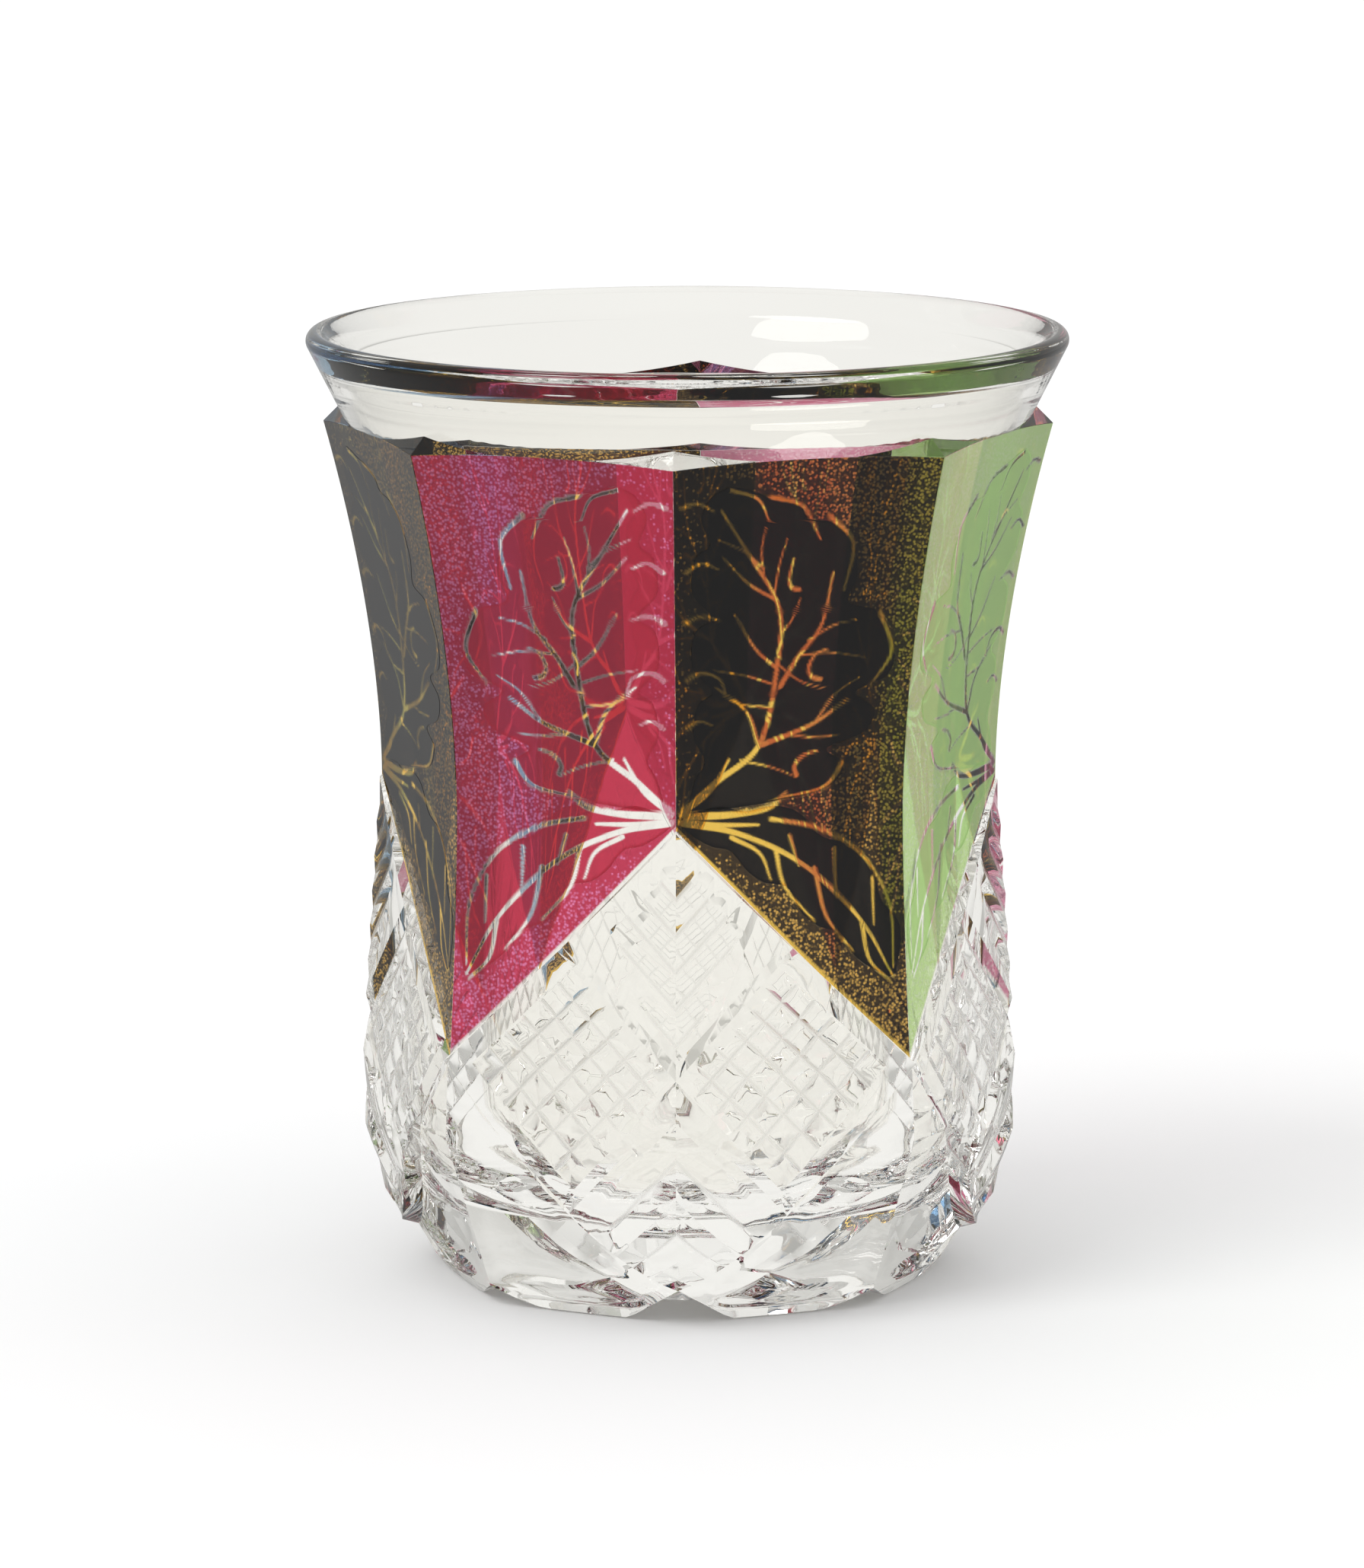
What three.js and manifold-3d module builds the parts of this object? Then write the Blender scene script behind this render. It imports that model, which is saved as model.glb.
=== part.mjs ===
// A cut-glass beaker with eight stained panels, made in the order a glass cutter works:
// a blown blank, eight flat facets, raised lozenge fields, lens cuts round the foot, mitre grooves
// with diamonds and plumes between them, and then the fired colour panels with their leaves.
// Millimetres, +Z up, origin under the foot.
// Angles run round the axis from the front (-Y) towards the right (+X).
import * as THREE from "three";
import { mergeVertices } from "three/addons/utils/BufferGeometryUtils.js";
import Module from "manifold-3d";

const wasm = await Module();
wasm.setup();

// Lip and neck
const beakerHeight = 115;
const lipRadius = 45.8; // widest point, just under the top
const lipRounding = 1.2;
const lipLand = 0.45; // flat left on top of the lip
const lipBevelWidth = 3.5; // slope ground on the inside of the lip
const lipBevelDrop = 3.3;
const neckRise = 9.2; // from the shoulder ledge up to the top
const neckFlare = 3.9; // how much wider the lip is than the foot of the neck
const neckWall = 2.75;
const neckHeight = beakerHeight - neckRise;
const neckRadius = lipRadius - neckFlare;

// Eight facets with a waist between shoulder and belly, radii on the edges between facets
const facetCount = 8;
const ledgeDrop = 2.1;
const ledgeStep = 2;
const shoulderHeight = neckHeight - ledgeDrop;
const shoulderRadius = neckRadius + ledgeStep;
const shoulderWall = 2.1;
const waistRadius = 37.2;
const bodyWall = 4.4;
const flareBend = 1.75; // how late the waist opens towards the shoulder
const swellBend = 1.6; // how late it opens towards the belly

// Zigzag lower border of the facets: peaks on every other edge, corners between them
const peakHeight = 60.2;
const cornerHeight = 31;
const cornerRadius = 38.6;
const waistOverPeak = 0.8; // the waist is narrowest just over the peaks
const waistHeight = peakHeight + waistOverPeak;

// Raised lozenge fields of the belly
const fieldPeakRadius = 37.5;
const bellyRadius = 40;
const bellyHeight = 22;
const bellyArc = 33; // profile radius of the belly where it turns in to the foot
const fieldBend = 1.2;
const fieldFlatness = 0.85; // 0 is a round belly, 1 an eight-sided one
const borderReach = 32; // from a corner down to where the lower borders of a field would meet
const fieldGap = 0.2; // left between two fields and the corner edge they meet at

// Foot with lens cuts and a scalloped edge
const footRadius = 31.6;
const footSpread = 0.36; // how much wider the foot grows for each millimetre of height
const footSetBack = 1.2; // least depth of the foot behind the fields
const lensAngle = 15; // degrees to either side of a corner edge
const lensHeight = 9.6;
const lensLong = 11;
const lensWide = 7.6;
const lensDepth = 1.9;
const lensTilt = 40; // degrees, leaning along the border of the field
const tallNotch = 5.2; // scallop under each field
const tallNotchWidth = 13;
const lowNotch = 2.8; // scallop under each corner edge
const lowNotchWidth = 10;
const notchReach = 12; // how far a scallop runs in under the foot

// Inside
const floorThickness = 12;
const floorCorner = 9;

// Mitre cross, diamonds and plumes in each field
const mitreDepth = 0.9;
const hatchCells = 6; // diamonds along each side of a side quarter
const hatchShare = 0.88; // share of a quarter that is cut, inside its plain rim
const hatchDepth = 0.6;
const plumeDepth = 0.3; // barbs in the upper quarter
const plumeSpread = 0.45; // how far the plume spreads, 1 is up to the mitres
const broadPlumeDepth = 0.7; // broad barbs in the lower quarter
const broadPlumeSpread = 0.7;

// Fired layers, drawn thicker than the real film
const layerGap = 0.12;
const panelThickness = 0.3;
const panelMargin = 0.35; // clear glass left along each edge
const panelTip = 1.6; // height of a panel's blunt lower tip above the corner
const leafThickness = 0.25;
const upperLeafWidths = [0.228, 0.368]; // from the midrib to either side, as shares of a facet's width
const upperLeafLobes = 5;
const lowerLeafWidths = [0.154, 0.154];
const lowerLeafLobes = 4;
const lobeDepth = 0.3; // share of the half width that is cut in between two lobes
const leafSwell = 1.25; // above 1 a leaf is widest beyond its middle
const leafBluntness = 0.04; // share of the midrib by which both ends are blunted

// Steps along the curves
const lowerLevels = 8;
const upperLevels = 10;
const fieldSides = 6; // straight pieces across one facet's width of the belly
const footLevels = 8;
const roundSides = 40; // a multiple of the facets, so that the ledge keeps its corners
const roundingSteps = 5;
const wallLevels = 8;
const lensSides = 20;
const stepsPerLobe = 3;

const facetAngle = (2 * Math.PI) / facetCount;
const apothemShare = Math.cos(facetAngle / 2);

/** A point at a radius, an angle round the axis from the front, and a height. */
function around(radius, angle, height) {
  return new THREE.Vector3(radius * Math.sin(angle), -radius * Math.cos(angle), height);
}

/** Values from first to last in equal steps, both ends included. */
function evenly(first, last, steps) {
  return Array.from({ length: steps + 1 }, (_, i) => first + ((last - first) * i) / steps);
}

/** Radius of the edges between facets: narrowest at the waist, opening by a power curve both ways. */
function edgeRadius(height) {
  if (height >= waistHeight) {
    const share = (height - waistHeight) / (shoulderHeight - waistHeight);
    return waistRadius + (shoulderRadius - waistRadius) * share ** flareBend;
  }
  const share = (waistHeight - height) / (waistHeight - cornerHeight);
  return waistRadius + (cornerRadius - waistRadius) * share ** swellBend;
}

/** Radius of a field on its upright axis: swelling down to the belly, then an arc in to the foot. */
function fieldRadius(height) {
  if (height >= bellyHeight) {
    const share = (height - bellyHeight) / (peakHeight - bellyHeight);
    return bellyRadius - (bellyRadius - fieldPeakRadius) * share ** fieldBend;
  }
  const drop = bellyHeight - height;
  return bellyRadius - bellyArc + Math.sqrt(bellyArc ** 2 - drop ** 2);
}

/** Radius of the foot: a straight taper up from the base that runs out behind the belly's curve. */
function footProfile(height) {
  return Math.min(footRadius + footSpread * height, fieldRadius(height) - footSetBack);
}

/** Share of the edge radius at an angle, between a circle (flatness 0) and an octagon (flatness 1). */
function sectionShare(angle, flatness) {
  const offset = THREE.MathUtils.euclideanModulo(angle, facetAngle) - facetAngle / 2;
  return 1 - flatness * (1 - apothemShare / Math.cos(offset));
}

/** Closed geometry from vertices and triangles, with its faces turned outwards. */
function closedGeometry(points, triangles) {
  let volume = 0;
  for (const [a, b, c] of triangles) {
    volume += points[a].dot(new THREE.Vector3().crossVectors(points[b], points[c]));
  }
  const outward = volume > 0 ? triangles : triangles.map(([a, b, c]) => [a, c, b]);
  const geometry = new THREE.BufferGeometry();
  geometry.setFromPoints(points);
  geometry.setIndex(outward.flat());
  return geometry;
}

/** A skin through rings of points in order, split along the shorter diagonals, with a fan at each end. */
function loft(rings) {
  const count = rings[0].length;
  const points = rings.flat();
  const triangles = [];
  for (let ring = 0; ring + 1 < rings.length; ring += 1) {
    for (let i = 0; i < count; i += 1) {
      const a = ring * count + i;
      const b = ring * count + ((i + 1) % count);
      const rising = points[a].distanceTo(points[b + count]);
      const falling = points[b].distanceTo(points[a + count]);
      if (rising < falling) {
        triangles.push([a, b, b + count], [a, b + count, a + count]);
      } else {
        triangles.push([a, b, a + count], [b, b + count, a + count]);
      }
    }
  }
  for (const ring of [0, rings.length - 1]) {
    const centre = new THREE.Vector3();
    rings[ring].forEach((point) => centre.addScaledVector(point, 1 / count));
    const hub = points.push(centre) - 1;
    for (let i = 0; i < count; i += 1) {
      const a = ring * count + i;
      const b = ring * count + ((i + 1) % count);
      triangles.push(ring === 0 ? [hub, b, a] : [hub, a, b]);
    }
  }
  return closedGeometry(points, triangles);
}

/** A body turned round the axis from profile points of radius and height. */
function turned(profile) {
  const outline = profile.map(([radius, height]) => new THREE.Vector2(radius, height));
  return new THREE.LatheGeometry(outline, roundSides).rotateX(Math.PI / 2);
}

/** A solid for joining and cutting, from a closed geometry. */
function toSolid(geometry) {
  const bare = geometry.clone();
  bare.deleteAttribute("normal");
  bare.deleteAttribute("uv");
  const merged = mergeVertices(bare, 1e-4);
  const places = merged.getAttribute("position");
  const points = Array.from({ length: places.count }, (_, i) => {
    return new THREE.Vector3().fromBufferAttribute(places, i);
  });
  const index = merged.getIndex().array;
  const triangles = [];
  for (let i = 0; i < index.length; i += 3) {
    const [a, b, c] = index.slice(i, i + 3);
    if (a !== b && b !== c && c !== a) {
      triangles.push([a, b, c]);
    }
  }
  const facing = closedGeometry(points, triangles);
  const vertProperties = new Float32Array(facing.getAttribute("position").array);
  const triVerts = new Uint32Array(facing.getIndex().array);
  return new wasm.Manifold(new wasm.Mesh({ numProp: 3, vertProperties, triVerts }));
}

/** The geometry of a finished solid. */
function toGeometry(solid) {
  const mesh = solid.getMesh();
  const geometry = new THREE.BufferGeometry();
  geometry.setAttribute("position", new THREE.BufferAttribute(new Float32Array(mesh.vertProperties), 3));
  geometry.setIndex(new THREE.BufferAttribute(new Uint32Array(mesh.triVerts), 1));
  geometry.computeVertexNormals();
  return geometry;
}

const facetLevels = [
  ...evenly(cornerHeight, peakHeight, lowerLevels),
  ...evenly(peakHeight, shoulderHeight, upperLevels).slice(1),
];

/** Half the way between the axis and a facet level's edges, following the straight steps of the loft. */
function facetApothem(height) {
  const next = Math.max(1, facetLevels.findIndex((level) => level >= height - 1e-9));
  const low = facetLevels[next - 1];
  const high = facetLevels[next];
  const share = (height - low) / (high - low);
  return THREE.MathUtils.lerp(edgeRadius(low), edgeRadius(high), share) * apothemShare;
}

/** Point on facet number k, a distance right of its middle, at a height, lifted off the glass. */
function facetPoint(k, across, height, lift) {
  const middle = (k + 0.5) * facetAngle;
  const out = facetApothem(height) + lift;
  return around(out, middle, height).add(around(across, middle + Math.PI / 2, 0));
}

/** A ring of points round the axis, between a circle and an octagon with its corners on the edges. */
function sectionRing(radius, height, sides, flatness) {
  return Array.from({ length: sides }, (_, i) => {
    const angle = (i * 2 * Math.PI) / sides;
    return around(radius * sectionShare(angle, flatness), angle, height);
  });
}

/** Eight-sided waisted trunk, from below the corners up to the shoulder. */
function facetedTrunk() {
  const base = cornerHeight - footSetBack;
  const ring = (height) => sectionRing(edgeRadius(height), height, facetCount, 1);
  return loft([base, ...facetLevels].map(ring));
}

/** Sloping ledge that takes the eight-sided shoulder over into the round neck. */
function shoulderLedge() {
  const core = sectionRing(neckRadius - neckWall, shoulderHeight - neckWall, roundSides, 0);
  const shoulder = sectionRing(shoulderRadius, shoulderHeight, roundSides, 1);
  const neck = sectionRing(neckRadius, neckHeight, roundSides, 0);
  return loft([core, shoulder, neck]);
}

/** Neck cone and rounded lip, as a solid of revolution that starts inside the trunk. */
function neckAndLip() {
  const start = neckHeight - neckWall;
  const roundCentre = beakerHeight - lipRounding;
  const shoulderOfLip = lipRadius - lipRounding;
  const arc = evenly(0, Math.PI / 2, roundingSteps).map((turn) => [
    shoulderOfLip + lipRounding * Math.cos(turn),
    roundCentre + lipRounding * Math.sin(turn),
  ]);
  const cone = [
    [neckRadius - neckWall, start],
    [neckRadius, neckHeight],
  ];
  return turned([[0, start], ...cone, ...arc, [0, beakerHeight]]);
}

/** Angle and height on a field, from shares to the right of its axis and up from its cross. */
function fieldPlace(axis, right, up) {
  const reach = up > 0 ? peakHeight - cornerHeight : borderReach;
  const height = Math.max(0, cornerHeight + up * reach);
  return { angle: axis + right * (facetAngle - fieldGap / cornerRadius), height };
}

/** Lattice steps from one border of a field to the opposite one: two to each diamond, and a plain rim. */
function fieldSteps() {
  const half = [...evenly(0, hatchShare, 2 * hatchCells), 1];
  return [...half.slice(1).reverse().map((step) => -step), ...half];
}

/** Depth of the cutting where lattice steps i and j of a field meet, counted from its cross. */
function cutDepth(i, j) {
  const border = 2 * hatchCells + 1;
  const valley = (step) => Math.abs(step) < border && step % 2 === 0;
  if (Math.max(Math.abs(i), Math.abs(j)) === border) {
    return 0;
  }
  if (i === 0 || j === 0) {
    return mitreDepth;
  }
  if (i * j < 0) {
    return valley(i) || valley(j) ? hatchDepth : 0;
  }
  const upper = i > 0;
  const pitch = upper ? 2 : 4;
  const spread = upper ? plumeSpread : broadPlumeSpread;
  const depth = upper ? plumeDepth : broadPlumeDepth;
  if (Math.abs(i - j) > spread * Math.abs(i + j)) {
    return 0;
  }
  const fromValley = Math.min(Math.abs(i), Math.abs(j)) % pitch;
  return depth * Math.abs(1 - (2 * fromValley) / pitch);
}

/** One raised lozenge field: mitre cross, diamonds in the side quarters, plumes over and under it. */
function lozengeField(axis) {
  const steps = fieldSteps();
  const count = steps.length;
  const middle = (count - 1) / 2;
  const outer = steps.flatMap((across, row) =>
    steps.map((along, column) => {
      const { angle, height } = fieldPlace(axis, (along - across) / 2, (along + across) / 2);
      const radius = fieldRadius(height) * sectionShare(angle, fieldFlatness);
      return around(radius - cutDepth(column - middle, row - middle), angle, height);
    }),
  );
  const triangles = [];
  for (let row = 0; row + 1 < count; row += 1) {
    for (let column = 0; column + 1 < count; column += 1) {
      const a = row * count + column;
      const split = (row + column) % 2 === 0;
      triangles.push(split ? [a, a + 1, a + count + 1] : [a, a + 1, a + count]);
      triangles.push(split ? [a, a + count + 1, a + count] : [a + 1, a + count + 1, a + count]);
    }
  }
  const side = Array.from({ length: count - 1 }, (_, i) => i);
  const last = count * count - 1;
  const border = [
    ...side,
    ...side.map((i) => (i + 1) * count - 1),
    ...side.map((i) => last - i),
    ...side.map((i) => last + 1 - (i + 1) * count),
  ];
  const inner = border.map((place) => outer[place].clone().multiply(new THREE.Vector3(0.5, 0.5, 1)));
  const hub = outer.length + inner.length;
  border.forEach((place, i) => {
    const next = (i + 1) % border.length;
    const under = outer.length + i;
    const nextUnder = outer.length + next;
    triangles.push([place, nextUnder, border[next]], [place, under, nextUnder], [hub, nextUnder, under]);
  });
  const centre = around(fieldRadius(cornerHeight) / 2, axis, cornerHeight);
  return closedGeometry([...outer, ...inner, centre], triangles);
}

/** A lens cut: a shallow dish, longer than wide, leaning along the border of the field beside it. */
function lensCutter(angle, lean) {
  const ball = (lensWide ** 2 + lensDepth ** 2) / (2 * lensDepth);
  const out = footProfile(lensHeight) * sectionShare(angle, fieldFlatness) + ball - lensDepth;
  const cutter = new THREE.SphereGeometry(ball, lensSides, lensSides).rotateX(Math.PI / 2);
  cutter.scale(1, 1, lensLong / lensWide);
  cutter.rotateY(lean);
  cutter.rotateZ(angle);
  const centre = around(out, angle, lensHeight);
  return cutter.translate(centre.x, centre.y, centre.z);
}

/** A three-cornered bar that cuts one scallop into the lower edge of the foot. */
function notchCutter(angle, height, width) {
  const section = new THREE.Shape();
  section.moveTo(0, height);
  section.lineTo(width, -height);
  section.lineTo(-width, -height);
  section.closePath();
  const bar = new THREE.ExtrudeGeometry(section, { depth: 2 * notchReach, bevelEnabled: false });
  bar.rotateX(Math.PI / 2).rotateZ(angle);
  const start = around(footRadius - notchReach, angle, 0);
  return bar.translate(start.x, start.y, 0);
}

/** The foot under the fields, with its lens cuts. */
function lensFoot() {
  const sides = facetCount * fieldSides;
  const ring = (height) => sectionRing(footProfile(height), height, sides, fieldFlatness);
  let foot = toSolid(loft(evenly(0, cornerHeight, footLevels).map(ring)));
  const tilt = THREE.MathUtils.degToRad(lensTilt);
  const away = THREE.MathUtils.degToRad(lensAngle);
  for (let k = 1; k < facetCount; k += 2) {
    const edge = k * facetAngle;
    foot = foot.subtract(toSolid(lensCutter(edge - away, tilt)));
    foot = foot.subtract(toSolid(lensCutter(edge + away, -tilt)));
  }
  return foot;
}

/** Scallops cut into the lower edge: a tall one under each field and a low one under each corner. */
function scalloped(solid) {
  let cut = solid;
  for (let k = 0; k < facetCount; k += 1) {
    const height = k % 2 ? lowNotch : tallNotch;
    const width = k % 2 ? lowNotchWidth : tallNotchWidth;
    cut = cut.subtract(toSolid(notchCutter(k * facetAngle, height, width)));
  }
  return cut;
}

/** Everything inside the glass: a rounded floor, walls following the waist, and the open mouth. */
function hollow() {
  const innerWall = (height) => {
    const share = THREE.MathUtils.clamp((height - waistHeight) / (shoulderHeight - waistHeight), 0, 1);
    return edgeRadius(height) * apothemShare - THREE.MathUtils.lerp(bodyWall, shoulderWall, share);
  };
  const cornerTop = floorThickness + floorCorner;
  const reach = innerWall(cornerTop);
  const corner = evenly(-Math.PI / 2, 0, roundingSteps).map((turn) => [
    reach - floorCorner + floorCorner * Math.cos(turn),
    cornerTop + floorCorner * Math.sin(turn),
  ]);
  const walls = evenly(cornerTop, shoulderHeight, wallLevels)
    .slice(1)
    .map((height) => [innerWall(height), height]);
  const bevelTop = lipRadius - lipRounding - lipLand;
  const mouth = [
    [neckRadius - neckWall, neckHeight],
    [bevelTop - lipBevelWidth, beakerHeight - lipBevelDrop],
    [bevelTop + lipBevelWidth, beakerHeight + lipBevelDrop],
    [0, beakerHeight + lipBevelDrop],
  ];
  return turned([[0, floorThickness], ...corner, ...walls, ...mouth]);
}

/** The four raised lozenge fields round the belly. */
function lozengeFields() {
  const axes = Array.from({ length: facetCount / 2 }, (_, i) => 2 * i * facetAngle);
  return axes.map((axis) => toSolid(lozengeField(axis))).reduce((all, field) => all.add(field));
}

/** The whole glass: trunk, neck, fields and foot joined, then hollowed out. */
function glassBody() {
  const upper = toSolid(facetedTrunk()).add(toSolid(shoulderLedge())).add(toSolid(neckAndLip()));
  const lower = scalloped(lozengeFields().add(lensFoot()));
  const outside = upper.add(lower);
  return toGeometry(outside.subtract(toSolid(hollow())));
}

/** Share of a facet's width, from its peak edge, at which the zigzag crosses a height. */
function zigzagShare(height) {
  const fall = THREE.MathUtils.clamp((peakHeight - height) / (peakHeight - cornerHeight), 0, 1);
  return 0.5 + (0.5 * Math.tan((fall - 0.5) * facetAngle)) / Math.tan(facetAngle / 2);
}

/** Heights and ends of a panel's outline: full width above the peak, slanting in to a tip below it. */
function panelRows() {
  const bottom = cornerHeight + panelTip;
  const top = shoulderHeight - panelMargin;
  const rows = [bottom, ...facetLevels.filter((level) => level > bottom && level < top), top];
  return rows.map((height) => {
    const half = facetApothem(height) * Math.tan(facetAngle / 2) - panelMargin;
    const lost = zigzagShare(height - 2 * panelMargin);
    return { height, high: -half + lost * 2 * half, low: half };
  });
}

/** A plate of even thickness over rows of points on facet k, all rows with equally many points. */
function facetPlate(k, rows, lift, thickness) {
  const count = rows[0].length;
  const layer = (offset) => rows.flat().map(([across, height]) => facetPoint(k, across, height, offset));
  const points = [...layer(lift), ...layer(lift + thickness)];
  const shift = rows.length * count;
  const triangles = [];
  const quad = (a, b, c, d) => triangles.push([a, b, c], [a, c, d]);
  for (let r = 0; r + 1 < rows.length; r += 1) {
    for (let c = 0; c + 1 < count; c += 1) {
      const a = r * count + c;
      quad(a, a + count, a + count + 1, a + 1);
      quad(a + shift, a + 1 + shift, a + count + 1 + shift, a + count + shift);
    }
    const left = r * count;
    const right = left + count - 1;
    quad(left, left + shift, left + count + shift, left + count);
    quad(right, right + count, right + count + shift, right + shift);
  }
  const last = shift - count;
  for (let c = 0; c + 1 < count; c += 1) {
    quad(c, c + 1, c + 1 + shift, c + shift);
    quad(last + c, last + c + shift, last + c + 1 + shift, last + c + 1);
  }
  return closedGeometry(points, triangles);
}

/** The sense of facet k: 1 where its peak edge is on the left, -1 where it is on the right. */
function handOf(k) {
  return k % 2 === 0 ? 1 : -1;
}

/** A stain panel over facet k. */
function stainPanel(k) {
  const hand = handOf(k);
  const rows = panelRows().map(({ height, high, low }) => [
    [hand * high, height],
    [hand * low, height],
  ]);
  return facetPlate(k, rows, layerGap, panelThickness);
}

/** A lobed leaf on facet k: its midrib runs through points measured from the peak edge and the peak. */
function leaf(k, ribPoints, rise, widths, lobes) {
  const hand = handOf(k);
  const width = 2 * facetApothem(peakHeight) * Math.tan(facetAngle / 2);
  const ribPlaces = ribPoints.map(([right, up]) => new THREE.Vector2(right * width, peakHeight + up * rise));
  const rib = new THREE.SplineCurve(ribPlaces);
  const rows = evenly(0, 1, lobes * stepsPerLobe).map((share) => {
    const place = rib.getPoint(share);
    const along = rib.getTangent(share);
    const run = leafBluntness + (1 - 2 * leafBluntness) * share;
    const lobe = 1 - lobeDepth * (1 - Math.abs(Math.sin(Math.PI * lobes * share)));
    const spread = Math.sin(Math.PI * run ** leafSwell) * lobe * width;
    const edge = facetApothem(place.y) * Math.tan(facetAngle / 2);
    return [-widths[0] * spread, 0, widths[1] * spread].map((away) => {
      const right = place.x + away * along.y;
      const height = place.y - away * along.x;
      return [hand * (right - edge), height];
    });
  });
  return facetPlate(k, rows, 2 * layerGap + panelThickness, leafThickness);
}

/** The upper leaf of facet k rises from the peak and curls over near the shoulder. */
function upperLeaf(k) {
  const rib = [[0.084, 0.12], [0.33, 0.244], [0.45, 0.437], [0.463, 0.632], [0.386, 0.782], [0.281, 0.897]];
  return leaf(k, rib, shoulderHeight - peakHeight, upperLeafWidths, upperLeafLobes);
}

/** The lower leaf of facet k follows the slanting border down to the corner. */
function lowerLeaf(k) {
  const rib = [[0.112, 0.055], [0.35, -0.027], [0.596, -0.199], [0.789, -0.411], [0.898, -0.623]];
  return leaf(k, rib, peakHeight - cornerHeight, lowerLeafWidths, lowerLeafLobes);
}

/** Colour, roughness and metalness of one fired layer or of the glass. */
function finish(color, roughness) {
  return new THREE.MeshStandardMaterial({ color, roughness, metalness: 0 });
}

const stains = [
  { name: "black_front", panel: 0x2a2116, leaf: 0x15100b },
  { name: "green", panel: 0x9cc777, leaf: 0x6f9a58 },
  { name: "black_right", panel: 0x2a2116, leaf: 0x15100b },
  { name: "rose", panel: 0xd9799d, leaf: 0xc05580 },
  { name: "black_back", panel: 0x2a2116, leaf: 0x15100b },
  { name: "blue", panel: 0x6f9cc4, leaf: 0x4a78a6 },
  { name: "black_left", panel: 0x2a2116, leaf: 0x15100b },
  { name: "ruby", panel: 0xb03850, leaf: 0x8f2238 },
];

const beaker = new THREE.Group();

/** Adds one named piece to the beaker. */
function addPiece(name, geometry, material) {
  const piece = new THREE.Mesh(geometry, material);
  piece.name = name;
  beaker.add(piece);
}

addPiece("glass_body", glassBody(), finish(0xe8e6da, 0.05));
stains.forEach((stain, k) => {
  addPiece(`panel_${stain.name}`, stainPanel(k), finish(stain.panel, 0.35));
  addPiece(`leaf_upper_${stain.name}`, upperLeaf(k), finish(stain.leaf, 0.25));
  addPiece(`leaf_lower_${stain.name}`, lowerLeaf(k), finish(stain.leaf, 0.25));
});

export default beaker;
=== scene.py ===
# %% [markdown]
# # A cut-glass beaker with stained panels
# The beaker is one piece of thick clear glass. A cutter ground eight facets, four raised lozenge fields
# and a scalloped foot into it. A painter then laid coloured stain on the facets, scraped leaves into it
# and fired it. This lesson rebuilds the glass as one mesh worked out with numpy, and lays the stain on
# it as thin tinted films.
#
# ## The shared frame
# The CAD part gives one body, its nodes and its box. It is loaded first, so that all that follows can
# be held against it. Sizes here are in millimetres. Blender's unit is the metre, so MM turns the one into
# the other.

# %% Load the frame
import math

import bpy
import numpy as np
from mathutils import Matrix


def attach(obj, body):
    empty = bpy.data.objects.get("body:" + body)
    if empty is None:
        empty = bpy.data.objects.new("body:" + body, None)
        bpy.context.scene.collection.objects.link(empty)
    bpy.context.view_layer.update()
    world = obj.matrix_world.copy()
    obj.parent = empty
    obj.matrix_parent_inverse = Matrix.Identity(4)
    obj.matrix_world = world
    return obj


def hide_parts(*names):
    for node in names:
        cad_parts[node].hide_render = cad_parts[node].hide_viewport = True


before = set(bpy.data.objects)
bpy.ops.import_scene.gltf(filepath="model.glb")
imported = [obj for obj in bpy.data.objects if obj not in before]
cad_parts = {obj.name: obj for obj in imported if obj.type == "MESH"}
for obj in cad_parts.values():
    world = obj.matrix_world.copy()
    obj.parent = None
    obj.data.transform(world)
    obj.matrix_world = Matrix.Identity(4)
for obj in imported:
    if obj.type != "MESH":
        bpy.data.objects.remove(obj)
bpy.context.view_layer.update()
MM = 0.001

# %% [markdown]
# ## One eighth is enough
# A cutter marks the blown glass into eight and repeats the same cuts, each facet being the mirror image
# of its neighbour. The outside could be modelled all round, but then a mistake could differ from side to
# side. So one eighth is worked out, between a peak edge (share 0) and a corner edge (share 1), and the
# others are turned or mirrored copies. Angles run from the front (-Y) towards +X.
#
# The columns of the grid are placed where the cutter's grooves will lie: each cell of the diamond pattern
# gets a column at its groove, at both edges of the groove and at its middle.

# %% Columns of an eighth
FACETS = 8
TURN = 2 * math.pi / FACETS
FLAT = math.cos(TURN / 2)  # distance of a flat over the radius of its edges

CELLS = 6  # cells along a quarter of a lozenge
RIM = 0.12  # plain border round the cells, as a share of the quarter
GROOVE = 0.14  # half the width of a fine groove, as a share of a cell
cell_places = np.array([0, GROOVE, 0.5, 1 - GROOVE])
CELL_STEPS = len(cell_places)
lattice = (np.arange(CELLS)[:, None] + cell_places).ravel() * (1 - RIM) / CELLS
lattice = np.concatenate([lattice, [1 - RIM, 1.0]])
LAST = len(lattice) - 1
columns = (1 + np.concatenate([-lattice[:0:-1], lattice])) / 2
print("columns in an eighth:", len(columns))

# %% [markdown]
# ## The surfaces as formulas
# A cutter thinks in sections: how wide is the glass at this height, and how round or flat is it there.
# Curves drawn by hand would do, but a formula keeps facet, field and film on the same surface. Both
# questions are answered here by small functions that take whole arrays.

# %% Sections
def angle_at(share):
    """Angle from the peak edge at a share of the facet: half turn + arctan((2 share - 1) tan half turn)."""
    return TURN / 2 + np.arctan((2 * share - 1) * math.tan(TURN / 2))


def section(angle, flatness):
    """Share of the edge radius at an angle: 1 - flatness (1 - cos(half turn) / cos(angle - half turn))."""
    return 1 - flatness * (1 - FLAT / np.cos(angle - TURN / 2))


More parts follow.
